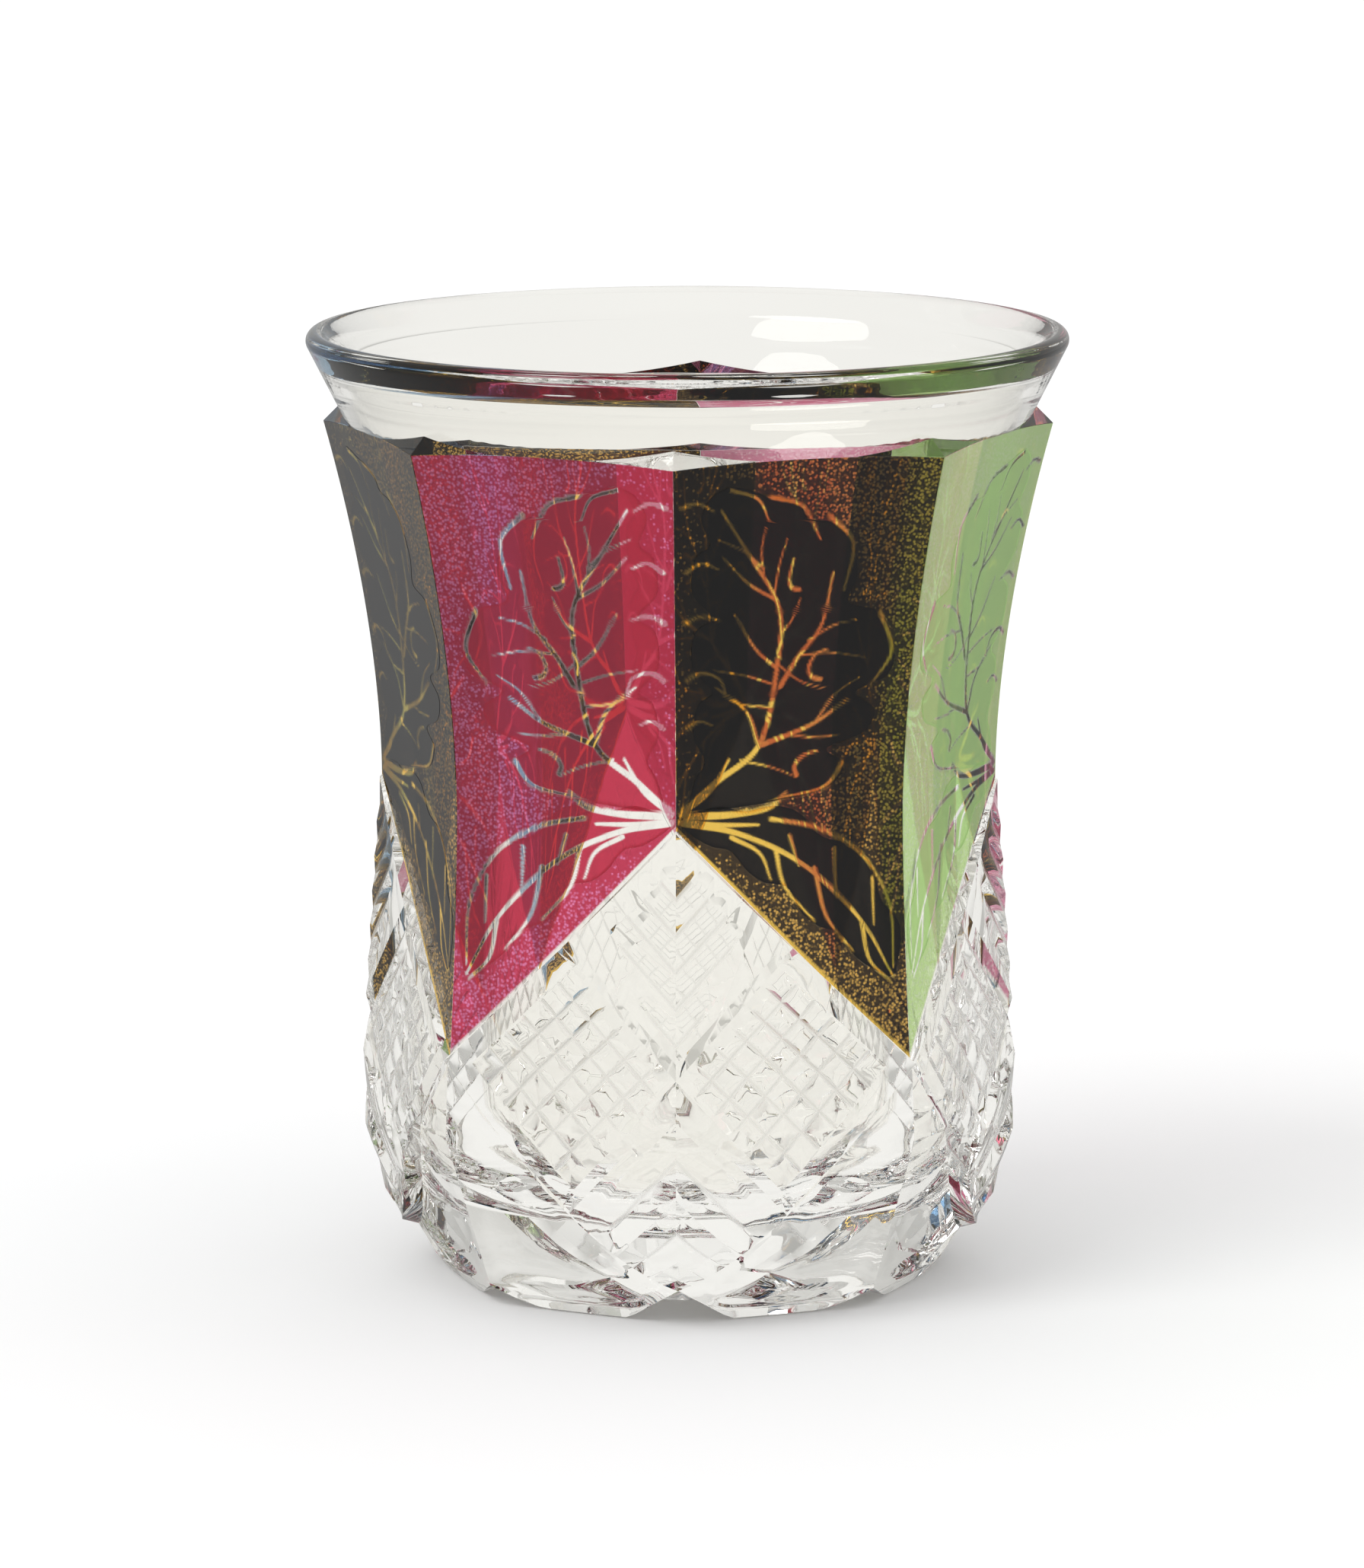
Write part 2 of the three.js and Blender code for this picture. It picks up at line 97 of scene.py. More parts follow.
turn = angle_at(columns)[None, :]
print("an eighth runs over degrees:", np.degrees(turn[0, [0, -1]]).round(2))

# %% Facet formulas
SHOULDER_HEIGHT, SHOULDER_RADIUS = 103.7, 43.9
WAIST_HEIGHT, WAIST_RADIUS = 61.0, 37.2
CORNER_HEIGHT, CORNER_RADIUS = 31.0, 38.6
PEAK_HEIGHT = 60.2
FLARE_POWER, SPREAD_POWER = 1.75, 1.6


def edge_radius(height):
    """Radius of the facet edges: waist plus a power curve up to the shoulder and down to the belly."""
    up = np.clip((height - WAIST_HEIGHT) / (SHOULDER_HEIGHT - WAIST_HEIGHT), 0, None)
    down = np.clip((WAIST_HEIGHT - height) / (WAIST_HEIGHT - CORNER_HEIGHT), 0, None)
    flare = (SHOULDER_RADIUS - WAIST_RADIUS) * up**FLARE_POWER
    return WAIST_RADIUS + flare + (CORNER_RADIUS - WAIST_RADIUS) * down**SPREAD_POWER


def zigzag(share):
    """Height of the zigzag under the facets: a straight fall from the peak to the corner."""
    return CORNER_HEIGHT + (PEAK_HEIGHT - CORNER_HEIGHT) * (1 - share)


print("facet edges, waist to shoulder:", edge_radius(np.array([WAIST_HEIGHT, SHOULDER_HEIGHT])))

# %% Field formulas
FIELD_PEAK_RADIUS, FIELD_FLATNESS, SWELL_POWER = 37.5, 0.85, 1.2
BELLY_RADIUS, BELLY_HEIGHT, BELLY_ARC = 40.0, 22.0, 33.0
LOWER_RISE = 32.0  # from the corner down to where the lower borders would meet
TIP_LIFT, TIP_START = 5.9, 0.5  # the notch in the foot lifts that meeting point


def field_radius(height):
    """Radius of the fields: a power curve swelling down to the belly, then a circular arc to the foot."""
    up = np.clip((height - BELLY_HEIGHT) / (PEAK_HEIGHT - BELLY_HEIGHT), 0, None)
    drop = np.clip(BELLY_HEIGHT - height, 0, None)
    swell = BELLY_RADIUS - (BELLY_RADIUS - FIELD_PEAK_RADIUS) * up**SWELL_POWER
    return swell - BELLY_ARC + np.sqrt(BELLY_ARC**2 - drop**2)


def field_height(slope):
    """Height on a field: straight from the corner level both ways, bent up near the lower tip."""
    up = (PEAK_HEIGHT - CORNER_HEIGHT) * np.clip(slope, 0, None)
    down = LOWER_RISE * np.clip(-slope, 0, None)
    lift = TIP_LIFT * np.clip((-slope - TIP_START) / (1 - TIP_START), 0, None) ** 2
    return CORNER_HEIGHT + up - down + lift


print("a field reaches from", field_height(np.array(-1.0)), "to", field_height(np.array(1.0)), "mm")

# %% [markdown]
# ## Zones
# Every cut on the glass ends in a crisp edge. A grid laid over all of it would round those edges off.
# So the eighth is put together from zones, each a grid that follows the edges: lip, neck, ledge, facet, the
# parts of half a lozenge, the foot and the inside. Neighbouring zones end on the same points, so merging
# the doubles closes the surface. A fourth number at each point says where the glass was left matt.

# %% Zone helpers
zones = []


def zone(angle, radius, height, swap=False, matt=0.0):
    """Keep one grid of points: rows run down the outside and up the inside, columns run with the angle."""
    angle, radius, height, matt = np.broadcast_arrays(angle, radius, height, matt)
    swap = np.broadcast_to(swap, (angle.shape[0] - 1, angle.shape[1] - 1))
    zones.append((np.stack([angle, radius, height, matt], -1), swap))


def row_of(values):
    """A column vector, so that a profile varies down the rows."""
    return np.asarray(values, float)[:, None]


def smooth_path(points, count):
    """A smooth path through a few points: Catmull-Rom cubic pieces sampled evenly."""
    p = np.asarray(points, float)
    p = np.concatenate([[2 * p[0] - p[1]], p, [2 * p[-1] - p[-2]]])
    place = np.linspace(0, len(p) - 3 - 1e-9, count)
    i = place.astype(int)
    t = (place - i)[:, None]
    a, b, c, d = p[i], p[i + 1], p[i + 2], p[i + 3]
    square = 2 * a - 5 * b + 4 * c - d
    cube = 3 * b - a - 3 * c + d
    return 0.5 * (2 * b + (c - a) * t + square * t**2 + cube * t**3)


print("zones so far:", len(zones))

# %% [markdown]
# ## Lip, neck and ledge
# The lip was melted round in the flame, and the neck below it is the blown cone that the wheel never
# touched. Where the facets begin, a small ledge is left at the edges, while over the middle of each flat
# the cone stands a little proud instead. The ledge could be level, as a straight cut leaves it. But a level
# one mirrors the inside of the glass and looks black, while this one falls at 45 degrees and lets the pale
# surround through, as on the real beaker.

# %% Lip
TOP, LIP_RADIUS, LIP_BEAD = 115.0, 45.8, 1.2
BEAD_CROWN, BEAD_OUTSIDE, BEAD_INSIDE = 90, -27, 130  # degrees round the bead


def arc(centre, radius, degrees):
    """Points on a circular arc in the plane of radius and height: centre + radius (cos, sin)."""
    angle = np.radians(degrees)
    return np.stack([centre[0] + radius * np.cos(angle), centre[1] + radius * np.sin(angle)], -1)


bead_centre = (LIP_RADIUS - LIP_BEAD, TOP - LIP_BEAD)
lip = arc(bead_centre, LIP_BEAD, np.linspace(BEAD_CROWN, BEAD_OUTSIDE, 14))
zone(turn, row_of(lip[:, 0]), row_of(lip[:, 1]))
print("lip ends outside at radius and height:", lip[-1].round(2))

# %% Neck and ledge
NECK_HEIGHT, NECK_RADIUS = 105.8, 41.9
SHOULDER_ARCH = 0.7  # the top edge of a facet rises by this in the middle
facet_top = SHOULDER_HEIGHT + SHOULDER_ARCH * 4 * columns * (1 - columns)
octagon = edge_radius(facet_top) * section(turn[0], 1)
neck_flare = (lip[-1, 0] - NECK_RADIUS) / (lip[-1, 1] - NECK_HEIGHT)
step_out = octagon - NECK_RADIUS - neck_flare * (facet_top - NECK_HEIGHT)
neck_end = facet_top + np.clip(step_out, 0, None) / (1 + neck_flare)
neck_height = lip[-1, 1] + (neck_end - lip[-1, 1]) * row_of(np.linspace(0, 1, 9))
neck_radius = NECK_RADIUS + neck_flare * (neck_height - NECK_HEIGHT)
zone(turn, neck_radius, neck_height)

ledge = row_of(np.linspace(0, 1, 4))
ledge_radius = neck_radius[-1] + (octagon - neck_radius[-1]) * ledge
zone(turn, ledge_radius, neck_end + (facet_top - neck_end) * ledge)
print("ledge at the edges falls by", round(float(neck_end[0] - facet_top[0]), 2), "mm")

# %% [markdown]
# ## Facets
# A facet is flat across and curved along, since the wheel followed the waist. Below it the raised field
# stands a little proud, which leaves a fine step along the zigzag. Eight curved cutters could shave the
# facets off a round body. A grid between the top edge and the zigzag gives the same faces with even rows.

# %% Facet and the step along the zigzag
LEDGE_RISE = 0.3
foot_of_facet = zigzag(columns) + LEDGE_RISE
fall = row_of(np.linspace(0, 1, 30))
facet_height = facet_top + (foot_of_facet - facet_top) * fall
zone(turn, edge_radius(facet_height) * section(turn, 1), facet_height)

border = zigzag(columns)
border_radius = field_radius(border) * section(turn[0], FIELD_FLATNESS)
facet_end = edge_radius(foot_of_facet) * section(turn[0], 1)
zone(turn, np.stack([facet_end, border_radius]), np.stack([foot_of_facet, border]))
print("step along the zigzag, most:", round(float((border_radius - facet_end).max()), 2), "mm")

# %% [markdown]
# ## The lozenge field
# Each field is quartered by a mitre cross. The side quarters are crossed by fine V-grooves into small
# pyramids, the upper quarter has a plume of fine barbs and the lower one a plume of broad ones. The
# grooves could be cut with booleans, but on a lattice that follows the cross a groove is only a depth at
# a lattice step. The fine grooves were left matt by the wheel, so they show as pale lines.

# %% Depth of the grooves
MITRE, HATCH, PLUME, BROAD_PLUME = 0.7, 0.3, 0.25, 0.6  # depths
PLUME_SPREAD, BROAD_SPREAD = 0.45, 0.7  # how far the barbs reach beside their axis
FLANK = 1.5 * GROOVE  # where the flank of a fine groove runs out, as a share of a cell
MITRE_HALF = 0.5  # half the width of the mitre, in cells


def groove_depth(step):
    """Depth at a lattice step: narrow V-grooves between the cells, a wide one at the mitre."""
    cell = lattice[step] * CELLS / (1 - RIM)
    fine = HATCH * np.clip(1 - np.abs(cell - np.round(cell)) / FLANK, 0, None)
    wide = MITRE * np.clip(1 - cell / MITRE_HALF, 0, None)
    return np.where(step == LAST, 0.0, np.maximum(np.where(cell < MITRE_HALF, 0, fine), wide))


def plume(barb, reach, pitch, depth, spread):
    """Barbs beside a middle axis: a triangle wave across them, kept within a share of the distance out."""
    cell = lattice[barb] * CELLS / (1 - RIM) / pitch
    wave = 2 * np.abs(cell % 1 - 0.5)
    fan = (reach - barb <= spread * (reach + barb)) & (reach < LAST)
    flank = MITRE * np.clip(1 - pitch * cell / MITRE_HALF, 0, None) * (reach < LAST)
    return np.maximum(depth * wave * fan, flank)


steps = np.arange(LAST + 1)
print("depths along a row of cells:", groove_depth(steps)[:9].round(2))


# %% Half a lozenge
def field_zone(share, slope, depth, fine, swap=False):
    """A grid on the field at shares and slopes, sunk by a depth, matt at the bottom of fine grooves."""
    angle = angle_at(share)
    height = field_height(slope)
    radius = field_radius(height) * section(angle, FIELD_FLATNESS) - depth
    from_cross = np.maximum(np.abs(share + slope), np.abs(share - slope))
    zone(angle, radius, height, swap, np.isclose(depth, fine) & (from_cross < 1 - RIM - 1e-6))


along, across = np.meshgrid(steps, steps)
on_border = (along == LAST) | (across == LAST)
pyramids = np.where(on_border, 0, np.maximum(groove_depth(along), groove_depth(across)))
first_half_u = (along[:-1, :-1] % CELL_STEPS) < CELL_STEPS / 2
first_half_v = (across[:-1, :-1] % CELL_STEPS) < CELL_STEPS / 2
u, v = lattice[along], -lattice[across]
field_zone((u - v) / 2, (u + v) / 2, pyramids, HATCH, first_half_u != first_half_v)

barb, reach = np.meshgrid(steps, steps)
barb = np.minimum(barb, reach)
u, v = lattice[reach], lattice[barb]
upper_plume = plume(barb, reach, 1, PLUME, PLUME_SPREAD)
lower_plume = plume(barb, reach, 2, BROAD_PLUME, BROAD_SPREAD)
field_zone((u - v) / 2, (u + v) / 2, upper_plume, PLUME)
field_zone(((u - v) / 2).T, (-(u + v) / 2).T, lower_plume.T, BROAD_PLUME)
print("pyramids in half a lozenge:", CELLS * CELLS)

# %% [markdown]
# ## The scalloped foot
# Below the fields the foot is set back. A big shallow lens is ground beside every corner edge, and notches
# scallop the lower edge. A lens could be cut with a large ball, which would leave ragged triangles along
# its rim. Here the grid itself runs from the border of the field to the lower edge and, past the low
# notch, to the ridge under the corner, so that every lens has clean edges.

# %% Foot surface and lower edge
FOOT_RADIUS, FOOT_TAPER, FOOT_SET_BACK = 31.6, 0.36, 0.7
TALL_NOTCH, TALL_HALF = 4.4, 6.5  # height and half width of the notch under the peak edge
LOW_NOTCH, LOW_HALF, LOW_CURVE = 2.4, 6.0, 1.3  # the same under the corner edge, and its bend


def foot_radius(height, angle):
    """Radius of the foot: a straight taper, at least a set-back behind the belly, times the section."""
    profile = np.minimum(FOOT_RADIUS + FOOT_TAPER * height, field_radius(height) - FOOT_SET_BACK)
    return profile * section(angle, FIELD_FLATNESS)


def scallop(angle):
    """Height of the lower edge: a V-notch under the peak edge and a lower one under the corner edge."""
    from_peak = FOOT_RADIUS * np.sin(angle)
    from_corner = FOOT_RADIUS * np.sin(TURN - angle)
    tall = TALL_NOTCH * np.clip(1 - from_peak / TALL_HALF, 0, None)
    return tall + LOW_NOTCH * np.clip(1 - from_corner / LOW_HALF, 0, None) ** LOW_CURVE


SET_DOWN = 0.5  # height of the step between field and foot
EDGE_END = 0.44  # share at which the lower edge turns into the ridge under the corner
RIDGE_POWER = 0.69
end_column = int(np.argmin(np.abs(columns - EDGE_END)))
top_height = field_height(columns - 1) - SET_DOWN
edge_angle = TURN * np.clip(columns / columns[end_column], 0, 1)
ridge = np.clip((columns - columns[end_column]) / (1 - columns[end_column]), 0, 1) ** RIDGE_POWER
edge_height = scallop(edge_angle) + (top_height[-1] - LOW_NOTCH) * ridge
edge_height[0] = top_height[0]
print("notch under the peak edge:", round(float(edge_height[0]), 2), "mm high")

# %% Lens cuts
LENS_DEPTH = 0.35
LENS_FROM, LENS_TO, LENS_TOP, LENS_LOW = 0.1, 0.6, 0.1, 0.8  # the lens in shares across and down the foot
LENS_OPEN, LENS_WIDE_OPEN = 0.36, 0.5  # between these shares the lens runs out to the lower edge
LAND_ROWS, LENS_ROWS, LOBE_ROWS = 3, 20, 5
opening = np.clip((columns - LENS_OPEN) / (LENS_WIDE_OPEN - LENS_OPEN), 0, 1)
lens_low = LENS_LOW + (1 - LENS_LOW) * opening
down_rows = np.concatenate([
    row_of(np.linspace(0, 1, LAND_ROWS + 1)) * LENS_TOP * np.ones_like(columns),
    LENS_TOP + (lens_low - LENS_TOP) * row_of(np.linspace(0, 1, LENS_ROWS + 1)[1:]),
    lens_low + (1 - lens_low) * row_of(np.linspace(0, 1, LOBE_ROWS + 1)[1:]),
])
lens_first = columns[np.argmin(np.abs(columns - LENS_FROM))]
lens_last = columns[np.argmin(np.abs(columns - LENS_TO))]
along_lens = np.clip((columns - lens_first) / (lens_last - lens_first), 0, 1)
across_lens = np.clip((down_rows - LENS_TOP) / (lens_low - LENS_TOP), 0, 1)
off_middle = (2 * along_lens - 1) ** 2 + (2 * across_lens - 1) ** 2
dish = LENS_DEPTH * np.clip(1 - off_middle, 0, None)

foot_angle = turn + (edge_angle - turn) * down_rows
foot_height = top_height + (edge_height - top_height) * down_rows
foot_grid = foot_radius(foot_height, foot_angle) - dish
lower_border = field_height(columns - 1)
lower_radius = field_radius(lower_border) * section(turn[0], FIELD_FLATNESS)
zone(turn, np.stack([lower_radius, foot_grid[0]]), np.stack([lower_border, top_height]))
zone(foot_angle, foot_grid, foot_height)
print("deepest in a lens:", round(float(dish.max()), 2), "mm")

# %% [markdown]
# ## Underside
# The notches were cut with the wheel held level, so they run in under the foot and grow shallower. The
# middle is a flat disc, ground to stand on. Cutters could take the notches out; instead the lower edge is
# led inwards while its height falls as one less a square, so that the rows go on from the foot's.

# %% Underside
BASE_RING = 20.0
run_in = row_of(np.linspace(0, 1, 7))
under = slice(0, end_column + 1)
base_radius = foot_grid[-1][under] + (BASE_RING - foot_grid[-1][under]) * run_in
zone(edge_angle[None, under], base_radius, foot_height[-1][under] * (1 - run_in**2))
zone(edge_angle[None, under], BASE_RING * row_of([1, 0.5, 0]), 0.0)
print("lowest point of the foot:", float(foot_height.min()), "mm")

# %% [markdown]
# ## The inside
# Inside, the beaker is round: blown, not cut. It is a profile turned about the axis, from the middle of
# the floor up the wall to the lip. The wall is thick, and thins towards the shoulder. A Screw modifier
# could turn the profile. Using the columns of the outside makes the two meet point by point at the lip.

# %% Inside of the wall
FLOOR, FLOOR_CORNER = 12.0, 12.5
WAIST_WALL, SHOULDER_WALL = 4.4, 2.1
MOUTH = [(39.25, 106.2), (40.0, 109.0), (40.4, 111.1), (40.85, 112.0), (41.9, 113.0), (43.0, 113.95)]


def inner_radius(height):
    """Radius inside: the flats of the outside less a wall that thins towards the shoulder."""
    share = np.clip((height - WAIST_HEIGHT) / (SHOULDER_HEIGHT - WAIST_HEIGHT), 0, 1)
    return edge_radius(height) * FLAT - (WAIST_WALL + (SHOULDER_WALL - WAIST_WALL) * share)


corner_top = FLOOR + FLOOR_CORNER
corner_reach = inner_radius(np.array(corner_top)) - FLOOR_CORNER
floor_part = [(corner_reach * share, FLOOR) for share in np.linspace(0, 1, 8)[:-1]]
corner_part = arc((corner_reach, corner_top), FLOOR_CORNER, np.linspace(-90, 0, 12))
wall_heights = np.linspace(corner_top, SHOULDER_HEIGHT, 26)[1:]
wall_part = np.stack([inner_radius(wall_heights), wall_heights], -1)
lip_part = arc(bead_centre, LIP_BEAD, np.linspace(BEAD_INSIDE, BEAD_CROWN, 8))
mouth_part = smooth_path([tuple(wall_part[-1]), *MOUTH, tuple(lip_part[0])], 43)[1:-1]
inside = np.concatenate([floor_part, corner_part, wall_part, mouth_part, lip_part])
zone(turn, row_of(inside[:, 0]), row_of(inside[:, 1]))
print("zones:", len(zones))

# %% [markdown]
# ## Eight eighths make the glass
# Even eighths turn the grid round the axis, odd ones mirror it and flip its faces. Blender's mirror and
# array modifiers could do this too, but here the result can be tested at once: doubles are merged, cells
# that shrank to a line are dropped, and a closed surface uses every edge exactly twice.

# %% Join the eighths
MERGE_STEP = 1e-3  # points in the same step of this size, in mm, are one
MERGE_SHIFT = 0.137  # keeps round numbers away from the border between two steps


def grid_triangles(rows, cols, swap):
    """Two triangles for each grid cell, split along the one diagonal or, where swap is set, the other."""
    a = np.arange(rows - 1)[:, None] * cols + np.arange(cols - 1)[None, :]
    b, c, d = a + 1, a + cols + 1, a + cols
    plain = np.stack([a, c, b, a, d, c], -1)
    swapped = np.stack([a, d, b, b, d, c], -1)
    return np.where(swap[..., None], swapped, plain).reshape(-1, 3)


def wedge_points(k, grid):
    """Points of eighth k from angle, radius and height: turned for even k, mirrored for odd k."""
    angle = k * TURN + grid[..., 0] if k % 2 == 0 else (k + 1) * TURN - grid[..., 0]
    return np.stack([grid[..., 1] * np.sin(angle), -grid[..., 1] * np.cos(angle), grid[..., 2]], -1)


def join_zones():
    """Points, matt shares and triangles of all eighths, without doubles and empty triangles."""
    points, matt, triangles, count = [], [], [], 0
    for k in range(FACETS):
        for grid, swap in zones:
            cells = grid_triangles(*grid.shape[:2], swap) + count
            triangles.append(cells if k % 2 == 0 else cells[:, ::-1])
            points.append(wedge_points(k, grid).reshape(-1, 3))
            matt.append(grid[..., 3].ravel())
            count += points[-1].shape[0]
    points = np.concatenate(points)
    matt = np.concatenate(matt)
    keys = np.round(points / MERGE_STEP + MERGE_SHIFT).astype(np.int64)
    _, first, merged = np.unique(keys, axis=0, return_index=True, return_inverse=True)
    triangles = merged.reshape(-1)[np.concatenate(triangles)]
    a, b, c = triangles.T
    return points[first], matt[first], triangles[(a != b) & (b != c) & (c != a)]


def open_edges(triangles):
    """How many edges are not shared by exactly two triangles."""
    edges = np.concatenate([triangles[:, [0, 1]], triangles[:, [1, 2]], triangles[:, [2, 0]]])
    return int((np.unique(np.sort(edges, 1), axis=0, return_counts=True)[1] != 2).sum())


glass_points, glass_matt, glass_triangles = join_zones()
corners = glass_points[glass_triangles]
volume = (corners[:, 0] * np.cross(corners[:, 1], corners[:, 2])).sum() / 6
if volume < 0:
    glass_triangles = glass_triangles[:, ::-1]
print("glass:", len(glass_triangles), "triangles, open edges", open_edges(glass_triangles))
print("volume of the glass in cubic mm:", round(abs(volume)))


# %% [markdown]
# ## Putting arrays into Blender
# A mesh could be grown face by face with bmesh, but from_pydata takes whole arrays at once. Sharp edges
# are found by angle, so that the cut facets stay crisp while the blown surfaces stay smooth.

# %% Mesh helper
def make_piece(name, points, faces, sharp_angle):
    """An object at the origin from points in millimetres and faces, with edges sharp past an angle."""
    mesh = bpy.data.meshes.new(name)
    mesh.from_pydata(points * MM, [], faces)
    mesh.validate()
    mesh.shade_smooth()
    mesh.set_sharp_from_angle(angle=math.radians(sharp_angle))
    piece = bpy.data.objects.new(name, mesh)
    bpy.context.scene.collection.objects.link(piece)
    return piece


def add_mask(piece, name, values):
    """Store one number at each point of a piece, for its material to read."""
    mask = piece.data.attributes.new(name, "FLOAT", "POINT")
    mask.data.foreach_set("value", values.astype(np.float32))


glass = make_piece("beaker_glass", glass_points, glass_triangles, sharp_angle=20)
add_mask(glass, "matt", glass_matt)
print("glass piece:", len(glass.data.vertices), "vertices")


# %% [markdown]
# ## Scraped lines
# The painter laid the stain on each facet as an even coat, then scraped ribs, veins and the curls of the
# lobes back to bare glass with a point. A picture could be painted for this, but then the part would carry
# an image. Strokes are kept instead: a half width and a few points, as distance from the peak edge and
# height. How far a place on the panel lies from the nearest stroke says whether it is bare.

# %% Strokes
UPPER_RIB = [(0.6, 62.4), (5.0, 66.0), (10.4, 70.2), (12.6, 79.2), (12.9, 86.5), (9.3, 93.0), (5.9, 98.6)]
LOWER_RIB = [(0.6, 61.4), (8.0, 59.6), (16.0, 55.4), (23.0, 48.6), (27.2, 41.6)]

UPPER_VEINS = [
    (0.50, UPPER_RIB),
    (0.38, [(13.0, 77.0), (15.2, 80.4), (18.2, 84.2), (19.7, 90.5)]),
    (0.42, [(10.6, 70.1), (16.9, 72.2), (21.4, 75.0)]),
    (0.26, [(12.4, 87.6), (9.1, 89.7), (6.0, 93.0)]),
    (0.26, [(12.4, 79.4), (9.9, 81.8), (7.4, 86.0)]),
    (0.30, [(10.2, 70.4), (8.8, 74.2), (5.0, 77.4)]),
]
LOBE_CURLS = [
    (0.30, [(7.2, 101.0), (10.4, 99.8), (11.8, 97.0)]),
    (0.34, [(12.0, 100.0), (16.0, 98.6), (18.1, 94.6)]),
    (0.36, [(19.4, 97.2), (22.2, 93.8), (21.0, 88.2)]),
    (0.34, [(25.6, 85.2), (27.0, 80.6), (24.4, 76.6)]),
    (0.36, [(20.8, 67.4), (18.4, 64.6), (12.6, 63.6)]),
    (0.36, [(15.4, 88.6), (14.5, 88.9), (14.2, 90.0), (14.8, 92.4)]),
    (0.36, [(18.0, 77.6), (16.9, 78.0), (16.6, 79.2), (17.4, 80.6), (18.8, 81.2)]),
    (0.36, [(15.0, 66.2), (14.8, 67.4), (16.0, 68.6), (17.6, 69.0)]),
    (0.30, [(1.0, 99.2), (3.0, 99.6), (5.0, 98.6)]),
    (0.30, [(1.4, 91.4), (3.4, 92.4), (5.4, 91.6)]),
    (0.30, [(1.2, 85.2), (3.2, 86.0), (5.6, 85.4)]),
    (0.30, [(1.4, 78.4), (3.2, 79.2), (5.4, 78.4), (6.2, 76.6)]),
    (0.26, [(1.6, 72.6), (3.0, 73.4), (4.6, 72.8)]),
]
LOWER_VEINS = [
    (0.46, LOWER_RIB),
    (0.34, [(6.9, 59.3), (10.4, 57.2), (11.8, 54.0)]),
    (0.34, [(12.4, 57.6), (13.6, 53.0), (17.3, 48.7)]),
    (0.34, [(17.3, 55.0), (18.8, 49.2), (22.2, 44.8)]),
    (0.34, [(23.3, 48.0), (24.3, 43.6), (27.0, 41.0)]),
    (0.32, [(11.8, 61.2), (17.0, 60.0), (21.0, 58.0), (24.3, 55.0), (26.9, 49.7), (27.3, 42.6)]),
    (0.26, [(14.2, 59.0), (15.3, 55.4)]),
    (0.26, [(19.8, 57.2), (20.0, 51.4)]),
    (0.26, [(24.6, 53.4), (24.8, 47.8)]),
]
STEMS = [
    (0.62, [(1.2, 62.2), (6.6, 62.0), (11.5, 62.5), (13.6, 64.2)]),
    (0.56, [(1.0, 61.4), (5.0, 60.9), (10.2, 60.6)]),
    (0.50, [(1.0, 62.8), (4.2, 65.0), (6.6, 68.6)]),
]
HAIR_WIDTH = 0.16
HAIR_PATHS = [
    [(12.9, 83.0), (14.6, 85.2), (15.6, 87.6)],
    [(12.4, 88.4), (13.0, 91.8), (14.0, 94.8)],
    [(11.0, 90.6), (10.8, 93.6), (11.4, 96.4)],
    [(16.6, 82.4), (19.6, 84.0), (22.6, 84.6)],
    [(15.4, 80.6), (19.0, 80.8), (23.4, 80.0)],
    [(13.8, 71.2), (17.6, 70.6), (20.4, 70.8)],
    [(17.6, 72.8), (20.0, 75.8), (23.0, 77.6)],
    [(12.6, 79.8), (15.4, 77.6), (18.6, 76.4)],
    [(12.0, 77.4), (8.6, 78.6), (4.8, 79.4)],
    [(11.4, 74.6), (8.0, 75.2), (6.0, 76.4)],
    [(8.0, 68.4), (11.8, 67.4), (15.0, 66.0)],
    [(11.0, 91.4), (8.6, 93.6), (5.4, 95.2)],
]
HAIR_VEINS = [(HAIR_WIDTH, hair_path) for hair_path in HAIR_PATHS]
STROKES = UPPER_VEINS + LOBE_CURLS + LOWER_VEINS + STEMS + HAIR_VEINS
print("strokes on a panel:", len(STROKES))

# %% Distances to strokes and outlines
STROKE_SHARE, STROKE_TAPER = 0.8, 0.65  # share of the half width at the start, and how much of it tapers off


def smoothstep(low, high, x):
    """0 below low, 1 above high, a smooth cubic between."""
    t = np.clip((x - low) / (high - low), 0, 1)
    return t * t * (3 - 2 * t)


def gaps_to(points, start, end):
    """Distance from each point to each straight piece between start and end."""
    run = end - start
    place = ((points[:, None] - start) * run).sum(-1) / np.maximum((run**2).sum(-1), 1e-12)
    nearest = start + np.clip(place, 0, 1)[..., None] * run
    return np.linalg.norm(points[:, None] - nearest, axis=-1)


def stroke_distance(points):
    """Least distance from each point to the strokes, less the stroke's half width, tapering to its end."""
    best = np.full(len(points), 99.0)
    for half_width, path in STROKES:
        line = smooth_path(path, 8 * len(path))
        width = STROKE_SHARE * half_width * (1 - STROKE_TAPER * np.linspace(0, 1, len(line)))
        best = np.minimum(best, (gaps_to(points, line[:-1], line[1:]) - width[:-1]).min(1))
    return best


def inside_distance(points, outline):
    """Signed distance to a closed outline, positive inside: even-odd crossings give the sign."""
    start, end = outline, np.roll(outline, -1, 0)
    run = end - start
    gap = gaps_to(points, start, end).min(1)
    above = (start[:, 1] > points[:, None, 1]) != (end[:, 1] > points[:, None, 1])
    with np.errstate(divide="ignore", invalid="ignore"):
        cross = start[:, 0] + (points[:, None, 1] - start[:, 1]) * run[:, 0] / run[:, 1]
    inside_it = ((above & (points[:, None, 0] < cross)).sum(1) % 2) == 1
    return np.where(inside_it, gap, -gap)


print("half width where a rib starts:", -stroke_distance(np.array(LOWER_RIB[:1])).round(2), "mm")

